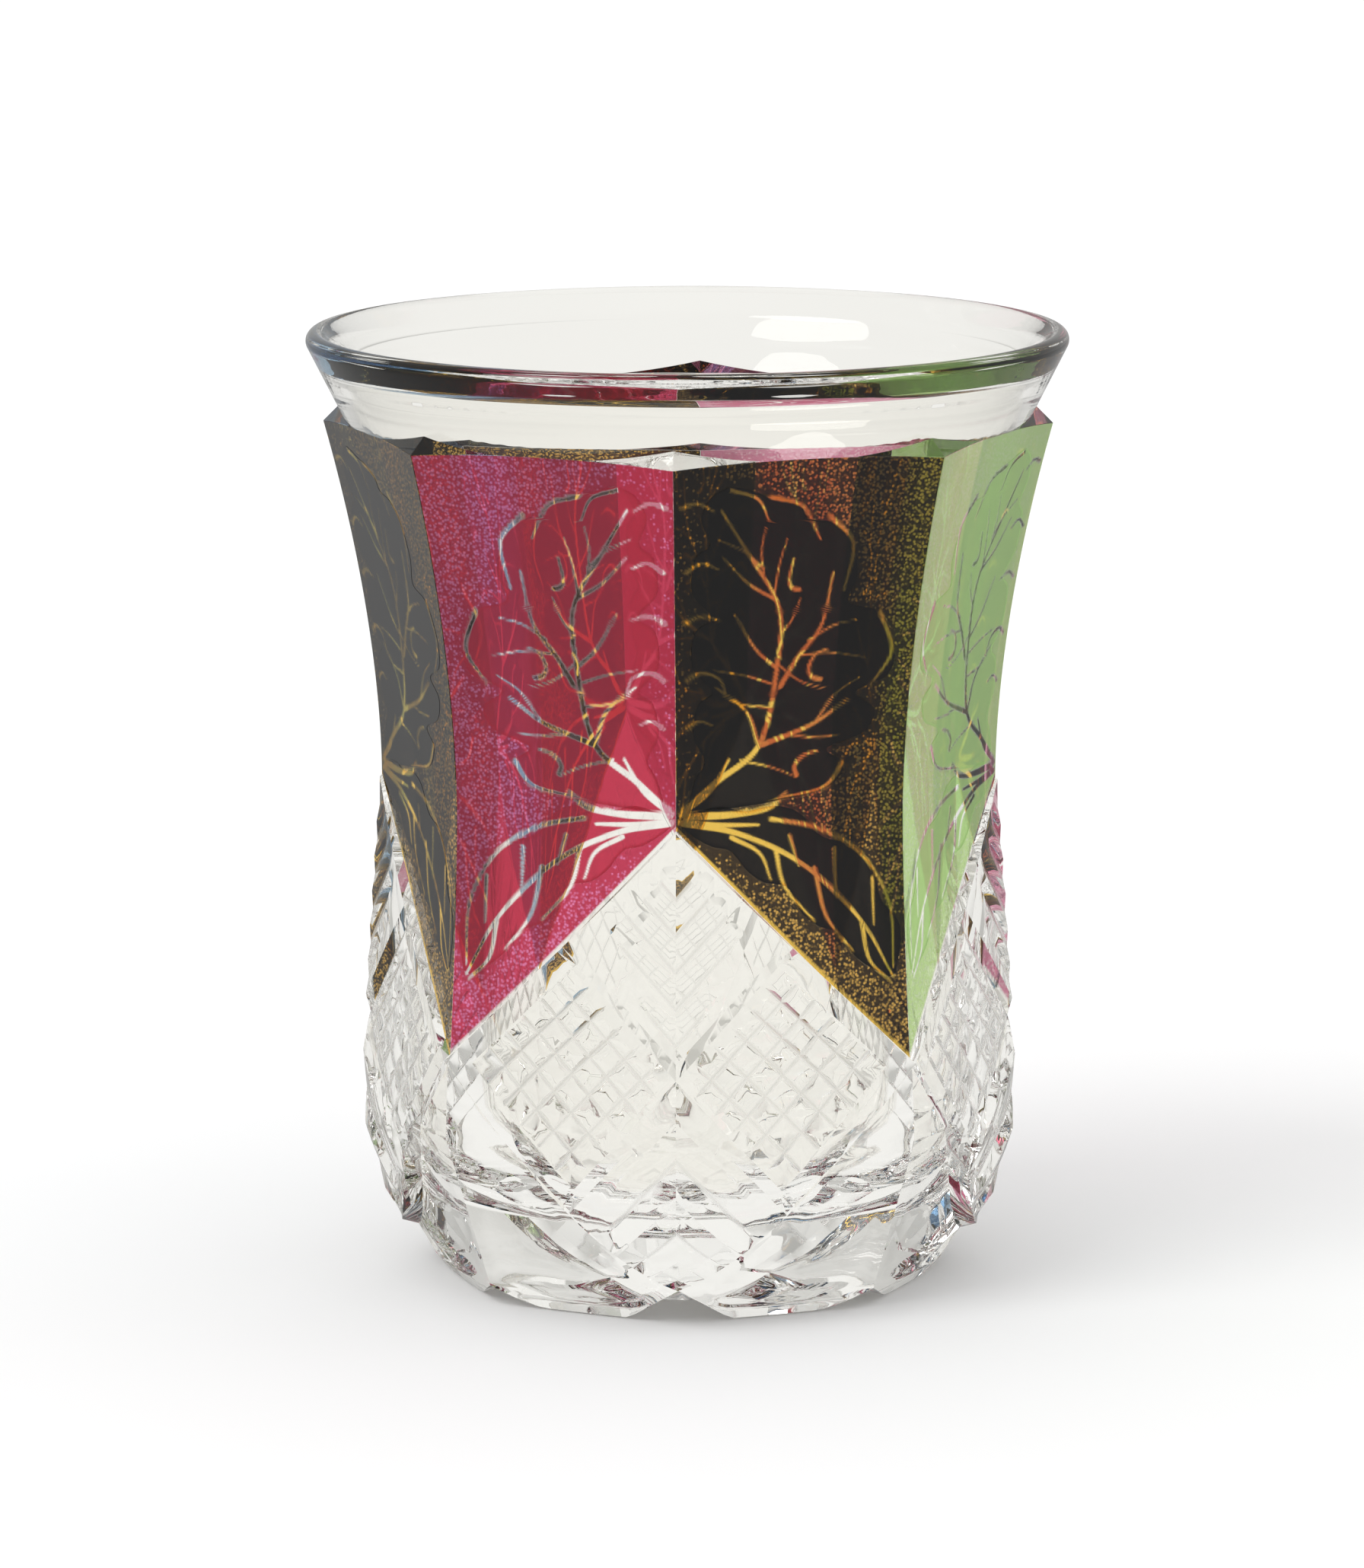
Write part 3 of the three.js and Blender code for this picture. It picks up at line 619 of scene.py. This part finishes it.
# %% [markdown]
# ## Panels and leaves
# A panel covers its facet from the shoulder to the zigzag. On it lie two leaves of a second, smooth coat: a
# lobed one that rises along the peak edge, and a slender one that hangs down the slanting border. Each is
# a grid of places on the facet. The lobed leaf runs in level rows between two drawn sides. The slender one
# is spread about its midrib.

# %% Panel grid
PANEL_MARGIN = 0.06


def facet_width(height):
    """Width of a facet at a height: two edge radii times the sine of half a turn."""
    return 2 * edge_radius(height) * math.sin(TURN / 2)


panel_share = np.linspace(0, 1, 85)
panel_fall = row_of(np.linspace(0, 1, 151))
panel_low = zigzag(panel_share) + LEDGE_RISE + PANEL_MARGIN
panel_top = SHOULDER_HEIGHT - PANEL_MARGIN + SHOULDER_ARCH * 4 * panel_share * (1 - panel_share)
panel_heights = panel_top * (1 - panel_fall) + panel_low * panel_fall
panel_width = facet_width(panel_heights) - 2 * PANEL_MARGIN
panel_grid = np.stack([PANEL_MARGIN + panel_share * panel_width, panel_heights], -1)
print("panel at the shoulder:", round(float(panel_width[0, 0]), 1), "mm wide")

# %% Leaf grids
LEAF_LEFT = [
    (1.2, 62.4), (2.4, 66.4), (3.6, 68.6), (2.2, 71.6), (2.8, 75.4), (4.6, 76.8), (2.2, 79.8), (2.4, 84.0),
    (4.6, 85.8), (2.2, 88.8), (2.6, 93.0), (4.4, 94.6), (3.4, 97.6), (4.6, 100.2), (6.8, 101.4),
]
LEAF_RIGHT = [
    (1.8, 62.4), (12.6, 63.3), (18.8, 64.5), (21.0, 67.2), (18.8, 69.2), (23.4, 70.9), (24.8, 73.6),
    (22.4, 75.8), (26.4, 77.6), (27.4, 81.0), (25.6, 85.2), (21.6, 86.8), (22.7, 90.2), (21.8, 94.6),
    (19.4, 96.6), (16.6, 97.2), (15.6, 98.8), (12.4, 100.2), (10.4, 100.5), (9.2, 101.0), (7.2, 101.4),
]
LOWER_WIDTHS, LOWER_LOBES = (5.6, 4.6), 4  # the slender leaf beside its midrib
LOBE_CUT = 0.28  # how far it draws in between its lobes
LEAF_ENDS = (0.03, 0.985)  # its ends, cut a little short of the points of the swelling


def outline_leaf(left, right, counts):
    """A leaf between two lobed sides: level rows from the left side to the right one."""
    left, right = smooth_path(left, 200), smooth_path(right, 200)
    level = np.linspace(left[0, 1], left[-1, 1], counts[0])
    ends = [np.interp(level, side[:, 1], side[:, 0])[:, None] for side in (left, right)]
    places = ends[0] + (ends[1] - ends[0]) * np.linspace(0, 1, counts[1])
    return np.stack([places, np.broadcast_to(level[:, None], places.shape)], -1)[::-1]


def rib_leaf(rib, widths, lobes, counts):
    """A leaf about its midrib: rib point + across * half width * lobes, widest past the middle."""
    line = smooth_path(rib, counts[0])
    along_leaf = np.linspace(*LEAF_ENDS, counts[0])
    slope = np.gradient(line, axis=0)
    normal = np.stack([slope[:, 1], -slope[:, 0]], -1) / np.linalg.norm(slope, axis=1)[:, None]
    swell = np.sin(np.pi * along_leaf**1.2) ** 0.7
    side = np.linspace(-1, 1, counts[1])
    lobe = 1 - LOBE_CUT * np.abs(np.cos(np.pi * lobes * along_leaf)) ** 3
    half_width = np.where(side < 0, widths[0], widths[1])
    offset = side * half_width * (swell * lobe)[:, None]
    return line[:, None] + offset[..., None] * normal[:, None]


upper_grid = outline_leaf(LEAF_LEFT, LEAF_RIGHT, (161, 91))
lower_grid = rib_leaf(LOWER_RIB, LOWER_WIDTHS, LOWER_LOBES, (131, 45))
print("upper leaf:", np.ptp(upper_grid.reshape(-1, 2), axis=0).round(1), "mm")

# %% [markdown]
# ## Masks
# Four masks at the points of a film tell its material what the painter did there: a scraped line, a hole
# where the leaf's own coat takes over, how densely the ground is stippled, and which face lies outside.
# The stipple fades near the leaves and towards the peak edge. Masks could be painted by hand in Blender.
# Worked out from distances they are exact, and the same on every panel.

# %% Masks of the films
LINE_SOFT, LEAF_LINE_SOFT = 0.12, 0.1  # half the width over which a scraped line fades
BORDER_LINE = (0.45, 0.2)  # a bare line is scraped along the lower border
BORDER_SLANT = 0.7  # turns a height over the slanting border into a distance from it
HOLE_EDGE = (0.05, 0.35)  # how far inside a leaf's outline the ground ends
STIPPLE_LEAST, STIPPLE_MORE = 0.3, 0.65
STIPPLE_FROM_EDGE, STIPPLE_FROM_LEAF = (2.0, 15.0), (-0.6, 1.5)  # where the stipple sets in


def leaf_outline(grid):
    """The closed outline of a leaf grid."""
    return np.concatenate([grid[:, 0], grid[::-1, -1]])


panel_points = panel_grid.reshape(-1, 2)
across_panel, up_panel = panel_points.T
leaf_gap = np.maximum(inside_distance(panel_points, leaf_outline(upper_grid)),
                      inside_distance(panel_points, leaf_outline(lower_grid)))
panel_hole = smoothstep(*HOLE_EDGE, leaf_gap)
panel_line = smoothstep(LINE_SOFT, -LINE_SOFT, stroke_distance(panel_points))
border_low = zigzag(across_panel / facet_width(up_panel)) + LEDGE_RISE + PANEL_MARGIN
border_gap = (up_panel - border_low) * BORDER_SLANT
panel_line = np.maximum(panel_line, smoothstep(*BORDER_LINE, border_gap))
stipple = STIPPLE_LEAST + STIPPLE_MORE * smoothstep(*STIPPLE_FROM_EDGE, across_panel)
panel_speck = smoothstep(*STIPPLE_FROM_LEAF, -leaf_gap) * stipple
upper_line = smoothstep(LEAF_LINE_SOFT, -LEAF_LINE_SOFT, stroke_distance(upper_grid.reshape(-1, 2)))
lower_line = smoothstep(LEAF_LINE_SOFT, -LEAF_LINE_SOFT, stroke_distance(lower_grid.reshape(-1, 2)))
print("panel points:", len(panel_points), "under leaves:", int(panel_hole.sum()))


# %% [markdown]
# ## Shader maths as Python
# Materials are built from nodes, which could be wired one by one. Here a small class wraps a socket, so
# that 1 - mask adds a Math node and a formula reads as one. One method adds any other node with its
# settings and inputs.

# %% Values on a surface
class Value:
    """One number at each point of a surface; arithmetic on it adds Math nodes."""

    def __init__(self, finish, socket):
        self.finish = finish
        self.socket = socket

    def math(self, operation, first, second):
        node = self.finish.node("ShaderNodeMath", {"operation": operation}, {0: first, 1: second})
        return Value(self.finish, node.outputs[0])

    def __add__(self, other):
        return self.math("ADD", self, other)

    def __radd__(self, other):
        return self.math("ADD", other, self)

    def __sub__(self, other):
        return self.math("SUBTRACT", self, other)

    def __rsub__(self, other):
        return self.math("SUBTRACT", other, self)

    def __mul__(self, other):
        return self.math("MULTIPLY", self, other)

    def __rmul__(self, other):
        return self.math("MULTIPLY", other, self)

    def absolute(self):
        return self.math("ABSOLUTE", self, 0.0)


print("operators of a value:", [name for name in vars(Value) if name.startswith("__r")])


# %% Finishes
class Finish:
    """A material or world under construction: node() adds any node with its settings and inputs."""

    def __init__(self, owner):
        owner.use_nodes = True
        self.owner = owner
        self.tree = owner.node_tree
        self.tree.nodes.clear()

    def feed(self, slot, given):
        """Link a value or socket to an input, or set the input to a constant."""
        source = given.socket if isinstance(given, Value) else given
        if isinstance(source, bpy.types.NodeSocket):
            self.tree.links.new(source, slot)
        else:
            slot.default_value = source

    def node(self, kind, settings=None, inputs=None):
        made = self.tree.nodes.new(kind)
        for name, setting in (settings or {}).items():
            setattr(made, name, setting)
        for name, given in (inputs or {}).items():
            self.feed(made.inputs[name], given)
        return made

    def value(self, node, output=0):
        return Value(self, node.outputs[output])

    def attribute(self, name):
        return self.value(self.node("ShaderNodeAttribute", {"attribute_name": name}), "Fac")

    def place(self):
        return self.node("ShaderNodeTexCoord").outputs["Object"]

    def ramp(self, value, low, high):
        """0 at low, 1 at high, smooth between."""
        inputs = {"Value": value, "From Min": low, "From Max": high, "To Min": 0.0, "To Max": 1.0}
        return self.value(self.node("ShaderNodeMapRange", {"interpolation_type": "SMOOTHSTEP"}, inputs))

    def mix(self, factor, first, second):
        """A colour between two colours."""
        made = self.node("ShaderNodeMix", {"data_type": "RGBA"})
        for name, given in (("Factor", factor), ("A", first), ("B", second)):
            self.feed([slot for slot in made.inputs if slot.name == name and slot.enabled][0], given)
        return [slot for slot in made.outputs if slot.enabled][0]

    def surface(self, node):
        """Close the tree with a node's first output as the surface, and give back the material or world."""
        kind = "World" if isinstance(self.owner, bpy.types.World) else "Material"
        self.node("ShaderNodeOutput" + kind, {}, {"Surface": node.outputs[0]})
        return self.owner


def tint(red, green, blue):
    """A colour given as it looks on a screen, 0 to 255, as linear light."""
    screen = np.array([red, green, blue]) / 255
    linear = np.where(screen <= 0.04045, screen / 12.92, ((screen + 0.055) / 1.055) ** 2.4)
    return (*linear.tolist(), 1.0)


WHITE = (1.0, 1.0, 1.0, 1.0)
print("a middle grey in linear light:", round(tint(128, 128, 128)[0], 3))

# %% [markdown]
# ## Clear glass
# The glass is polished crystal with a faint warm tone. Blown glass is never quite even, so a little noise
# tilts its normals. Only the bottoms of the fine grooves are matt: there the roughness rises, and the
# light through them blurs into pale lines. Two materials could do this, with a border between them. One
# that reads the matt mask fades from polished to matt along the flanks.

# %% Clear glass
MATT_ROUGHNESS = 0.5
WAVE_SCALE, WAVE_STRENGTH = 60.0, 0.02


def clear_glass():
    """Polished crystal: full transmission, a faint waviness of blown glass, matt in the fine grooves."""
    finish = Finish(bpy.data.materials.new("clear_glass"))
    wave = finish.node("ShaderNodeTexNoise", {}, {
        "Vector": finish.place(), "Scale": WAVE_SCALE, "Detail": 1.0,
    })
    bump = finish.node("ShaderNodeBump", {}, {
        "Strength": WAVE_STRENGTH, "Distance": MM, "Height": wave.outputs["Fac"],
    })
    return finish.surface(finish.node("ShaderNodeBsdfPrincipled", {}, {
        "Base Color": tint(253, 252, 248), "Roughness": MATT_ROUGHNESS * finish.attribute("matt"),
        "IOR": 1.52, "Transmission Weight": 1.0, "Normal": bump.outputs["Normal"],
    }))


glass.data.materials.append(clear_glass())
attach(glass, "root")
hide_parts("glass_body")
print("matt points on the glass:", int(glass_matt.sum()))

# %% [markdown]
# ## Stains
# A fired stain mostly tints the light that passes, but it also scatters some: before a dark panel it still
# shows its colour. So a film transmits most light and keeps a small body share that scatters. The ground
# was dabbed with a brush, which a Voronoi pattern stands for: each cell is a dab, present or not by a
# random number against the stipple mask. Scraped lines in the colours are bare and show what lies behind.
# In the black they are filled with yellow stain.

# %% Stain material
DAB_SCALE = 2600.0  # cells to a metre
DAB_EDGE, DAB_FADE = (0.62, 0.3), (0.0, 0.15)


def stain(name, coat, speck, line, body, bare):
    """A fired stain: a film that tints and partly scatters, with dots dabbed thin and lines scraped off."""
    finish = Finish(bpy.data.materials.new(name))
    dots = finish.node("ShaderNodeTexVoronoi", {}, {"Vector": finish.place(), "Scale": DAB_SCALE})
    pick = finish.value(finish.node("ShaderNodeSeparateColor", {}, {0: dots.outputs["Color"]}), "Red")
    chosen = finish.ramp(finish.attribute("speck") - pick, *DAB_FADE)
    dab = finish.ramp(finish.value(dots, "Distance"), *DAB_EDGE) * chosen
    scraped = finish.attribute("line")
    colour = finish.mix(scraped, finish.mix(dab, coat, speck), line)
    cover = (1 - finish.attribute("hole")) * (1 - bare * scraped)
    return finish.surface(finish.node("ShaderNodeBsdfPrincipled", {}, {
        "Base Color": colour, "Roughness": 0.0, "IOR": 1.0, "Transmission Weight": 1 - body,
        "Alpha": cover, "Coat Weight": finish.attribute("outside"), "Coat Roughness": 0.02, "Coat IOR": 1.5,
    }))


# coat of the ground, dabs, lines, coat of the leaf, share that scatters, how bare the lines are
COATS = {
    "black": (tint(62, 49, 31), tint(206, 165, 86), tint(248, 206, 92), tint(30, 25, 21), 0.03, 0.0),
    "green": (tint(206, 236, 160), tint(218, 238, 190), WHITE, tint(194, 233, 146), 0.35, 1.0),
    "rose": (tint(240, 158, 190), tint(250, 210, 224), WHITE, tint(232, 130, 165), 0.2, 1.0),
    "blue": (tint(165, 200, 228), tint(212, 228, 244), WHITE, tint(130, 175, 215), 0.2, 1.0),
    "ruby": (tint(208, 66, 98), tint(234, 134, 182), WHITE, tint(208, 62, 90), 0.25, 1.0),
}
grounds = {}
leaves = {}
for colour_name, (coat, speck, line, leaf_coat, body, bare) in COATS.items():
    grounds[colour_name] = stain(colour_name + "_stain", coat, speck, line, body, bare)
    leaves[colour_name] = stain(colour_name + "_leaf", leaf_coat, speck, line, body, bare)
print("stains:", len(grounds) + len(leaves))


# %% [markdown]
# ## Films on the facets
# A real stain is thinner than a hair. A single sheet would do for the eye, but a closed film also exports
# as a sound mesh. Each film straddles the surface of the glass: an outer face just above it, an inner
# face just below it and a rim between them.

# %% Film helper
def on_facet(k, points, lift):
    """Points on facet k from distances off the peak edge and heights, lifted off the glass."""
    off_edge, height = points[..., 0], points[..., 1]
    angle = angle_at(off_edge / facet_width(height))
    base = wedge_points(k, np.stack([angle, edge_radius(height) * section(angle, 1), height], -1))
    middle = (k + 0.5) * TURN
    return base + lift * np.array([math.sin(middle), -math.cos(middle), 0.0])


def film(name, k, grid, lifts):
    """A closed film over a grid of facet points: an outer face, an inner face and a rim between them."""
    rows, cols = grid.shape[:2]
    outer = on_facet(k, grid, lifts[1]).reshape(-1, 3)
    inner = on_facet(k, grid, lifts[0]).reshape(-1, 3)
    a = (np.arange(rows - 1)[:, None] * cols + np.arange(cols - 1)[None, :]).ravel()
    face = np.stack([a, a + cols, a + cols + 1, a + 1], -1)
    top = np.arange(cols)
    left = np.arange(rows) * cols
    right = left + cols - 1
    bottom = (rows - 1) * cols + top
    ring = np.concatenate([top, right[1:], bottom[::-1][1:], left[::-1][1:]])
    rim = np.stack([ring[:-1], ring[1:], ring[1:] + rows * cols, ring[:-1] + rows * cols], -1)
    quads = np.concatenate([face, face[:, ::-1] + rows * cols, rim])
    if k % 2:
        quads = quads[:, ::-1]
    return make_piece(name, np.concatenate([outer, inner]), quads, sharp_angle=60)


print("facet 0 at mid height:", on_facet(0, np.array([[10.0, 80.0]]), 0.0).round(2))

# %% Lay the films
PANELS = ["black_front", "green", "black_right", "rose", "black_back", "blue", "black_left", "ruby"]
PANEL_LIFT, LEAF_LIFT = (-0.05, 0.05), (-0.03, 0.08)


def dress(piece, material, masks, node, slot):
    """Give a film its material, its masks for both faces, and its place in the part."""
    count = len(piece.data.vertices) // 2
    masks = {"line": 0.0, "hole": 0.0, "speck": 0.0, **masks}
    for name, mask in masks.items():
        add_mask(piece, name, np.tile(np.broadcast_to(mask, count), 2))
    add_mask(piece, "outside", np.repeat([1.0, 0.0], count))
    piece.data.materials.append(material)
    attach(piece, "root")
    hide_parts(node)


panel_masks = {"line": panel_line, "hole": panel_hole, "speck": panel_speck}
for k, panel in enumerate(PANELS):
    colour_name = panel.split("_")[0]
    ground, leaf = grounds[colour_name], leaves[colour_name]
    dress(film("stain_" + panel, k, panel_grid, PANEL_LIFT), ground, panel_masks,
          "panel_" + panel, colour_name + "_stain")
    dress(film("upper_leaf_" + panel, k, upper_grid, LEAF_LIFT), leaf, {"line": upper_line},
          "leaf_upper_" + panel, colour_name + "_leaf")
    dress(film("lower_leaf_" + panel, k, lower_grid, LEAF_LIFT), leaf, {"line": lower_line},
          "leaf_lower_" + panel, colour_name + "_leaf")
print("films:", 3 * len(PANELS))

# %% [markdown]
# ## Stage
# The beaker stands on a pale floor in a pale surround, as in a studio. The Light Path node tells what kind
# of ray meets floor or surround. Rays through the glass see a bright tone, so the glass looks clear. Pure
# reflections see a dimmer one, so the dark stain isn't washed out. Cycles counts a ray through smooth
# glass as glossy too, so the test for transmission decides first. The floor keeps the shadow.

# %% Floor
SURROUND, DIMMED, SHINE = tint(248, 248, 247), tint(196, 196, 194), tint(135, 135, 134)
FLOOR_HALF = 3.0
FLOOR_DROP = -0.2 * MM  # just under the glass, so that light leaves the glass before it meets the floor
FLOOR_GLOW, FLOOR_FADE = 0.75, (0.1, 0.4)
floor_signs = [(-1, -1), (1, -1), (1, 1), (-1, 1)]
floor_corners = [(x * FLOOR_HALF, y * FLOOR_HALF, FLOOR_DROP) for x, y in floor_signs]
floor_mesh = bpy.data.meshes.new("floor")
floor_mesh.from_pydata(floor_corners, [], [(0, 1, 2, 3)])
floor = bpy.data.objects.new("floor", floor_mesh)
bpy.context.scene.collection.objects.link(floor)

paint = Finish(bpy.data.materials.new("pale_floor"))
lit = paint.node("ShaderNodeBsdfDiffuse", {}, {"Color": (0.9, 0.9, 0.9, 1.0)})
floor_x = paint.value(paint.node("ShaderNodeSeparateXYZ", {}, {0: paint.place()}), "X").absolute()
floor_path = paint.node("ShaderNodeLightPath")
floor_through = paint.value(floor_path, "Is Transmission Ray")
floor_bright = paint.mix(paint.ramp(floor_x, *FLOOR_FADE), SURROUND, DIMMED)
floor_tone = paint.mix(floor_through, SHINE, floor_bright)
glow = paint.node("ShaderNodeEmission", {}, {"Color": floor_tone, "Strength": 1.0})
by_glass = floor_through + paint.value(floor_path, "Is Glossy Ray")
floor_mix = {0: FLOOR_GLOW * by_glass, 1: lit.outputs[0], 2: glow.outputs[0]}
floor_mesh.materials.append(paint.surface(paint.node("ShaderNodeMixShader", {}, floor_mix)))
print("floor:", 2 * FLOOR_HALF, "m wide")

# %% [markdown]
# ## Surround
# A dome of pale paper could be modelled round the beaker, but a world that reads the direction of the ray
# does the same: a little darker overhead and to the sides, so that clear edges get grey outlines.

# %% World
HIGH_TONE = tint(218, 218, 217)
ASIDE_FADE, HIGH_FADE, FRONT_FADE = (0.15, 0.75), (0.05, 0.8), (0.3, -0.5)
world = bpy.data.worlds.new("surround")
bpy.context.scene.world = world
sky = Finish(world)
sky_path = sky.node("ShaderNodeLightPath")
way = sky.node("ShaderNodeSeparateXYZ", {}, {0: sky.node("ShaderNodeTexCoord").outputs["Generated"]})
aside = sky.ramp(sky.value(way, "X").absolute(), *ASIDE_FADE)
high = sky.ramp(sky.value(way, "Z"), *HIGH_FADE)
sky_bright = sky.mix(aside, sky.mix(high, SURROUND, HIGH_TONE), DIMMED)
sky_shine = sky.mix(sky.ramp(sky.value(way, "Y"), *FRONT_FADE), DIMMED, SHINE)
not_through = sky.mix(sky.value(sky_path, "Is Glossy Ray"), WHITE, sky_shine)
seen = sky.mix(sky.value(sky_path, "Is Transmission Ray"), not_through, sky_bright)
sky.surface(sky.node("ShaderNodeBackground", {}, {"Color": seen, "Strength": 1.0}))
print("world nodes:", len(world.node_tree.nodes))

# %% [markdown]
# ## Lamp
# The shadow on the floor is soft and falls to the right. An area lamp on the left could cast it, with its
# size and distance to be tuned. A sun has only a direction and an angle, and a wide angle is a soft shadow.

# %% Lamp
LAMP_POWER, LAMP_SPREAD = 0.9, 35.0
LAMP_TILT, LAMP_LEAN = 28.0, -38.0
lamp_data = bpy.data.lights.new("soft_lamp", "SUN")
lamp_data.energy = LAMP_POWER
lamp_data.angle = math.radians(LAMP_SPREAD)
lamp = bpy.data.objects.new("soft_lamp", lamp_data)
lamp.rotation_euler = (math.radians(LAMP_TILT), math.radians(LAMP_LEAN), 0)
bpy.context.scene.collection.objects.link(lamp)
print("lamp spread in degrees:", LAMP_SPREAD)

# %% [markdown]
# ## Camera
# The camera stands where the photographer stood: about 90 cm away, looking a little down on the rim, and
# a touch to the right of the front edge. It could be placed by eye. Here place and lens come from a fit.

# %% Camera
PHOTO_WIDTH, FOCAL_PIXELS, SHIFT_PIXELS = 1792, 9887.6, -5
SENSOR = 36.0
CAMERA_OUT, CAMERA_UP = 898.5, 222.0
CAMERA_TURN, CAMERA_DIP, CAMERA_ROLL = math.radians(2.2), math.radians(10.26), math.radians(0.1)
camera_data = bpy.data.cameras.new("camera")
camera_data.sensor_width = SENSOR
camera_data.sensor_fit = "HORIZONTAL"
camera_data.lens = SENSOR * FOCAL_PIXELS / PHOTO_WIDTH
camera_data.shift_x = SHIFT_PIXELS / PHOTO_WIDTH
camera = bpy.data.objects.new("camera", camera_data)
camera_x = CAMERA_OUT * MM * math.sin(CAMERA_TURN)
camera_y = -CAMERA_OUT * MM * math.cos(CAMERA_TURN)
camera.location = (camera_x, camera_y, CAMERA_UP * MM)
camera.rotation_euler = (math.pi / 2 - CAMERA_DIP, CAMERA_ROLL, CAMERA_TURN)
bpy.context.scene.collection.objects.link(camera)
bpy.context.scene.camera = camera
print("lens in mm:", round(camera_data.lens, 1))

# %% [markdown]
# ## Light through many surfaces
# A ray through this beaker crosses glass and films many times, so it needs more bounces than usual before
# it is cut off and turns black. The view transform is the plain one, which leaves white as white.

# %% View and light paths
BOUNCES, MIRROR_BOUNCES = 40, 12
scene = bpy.context.scene
scene.view_settings.view_transform = "Standard"
scene.cycles.max_bounces = BOUNCES
scene.cycles.transmission_bounces = BOUNCES
scene.cycles.glossy_bounces = MIRROR_BOUNCES
scene.cycles.transparent_max_bounces = BOUNCES
print("bounces:", scene.cycles.max_bounces)

# %% [markdown]
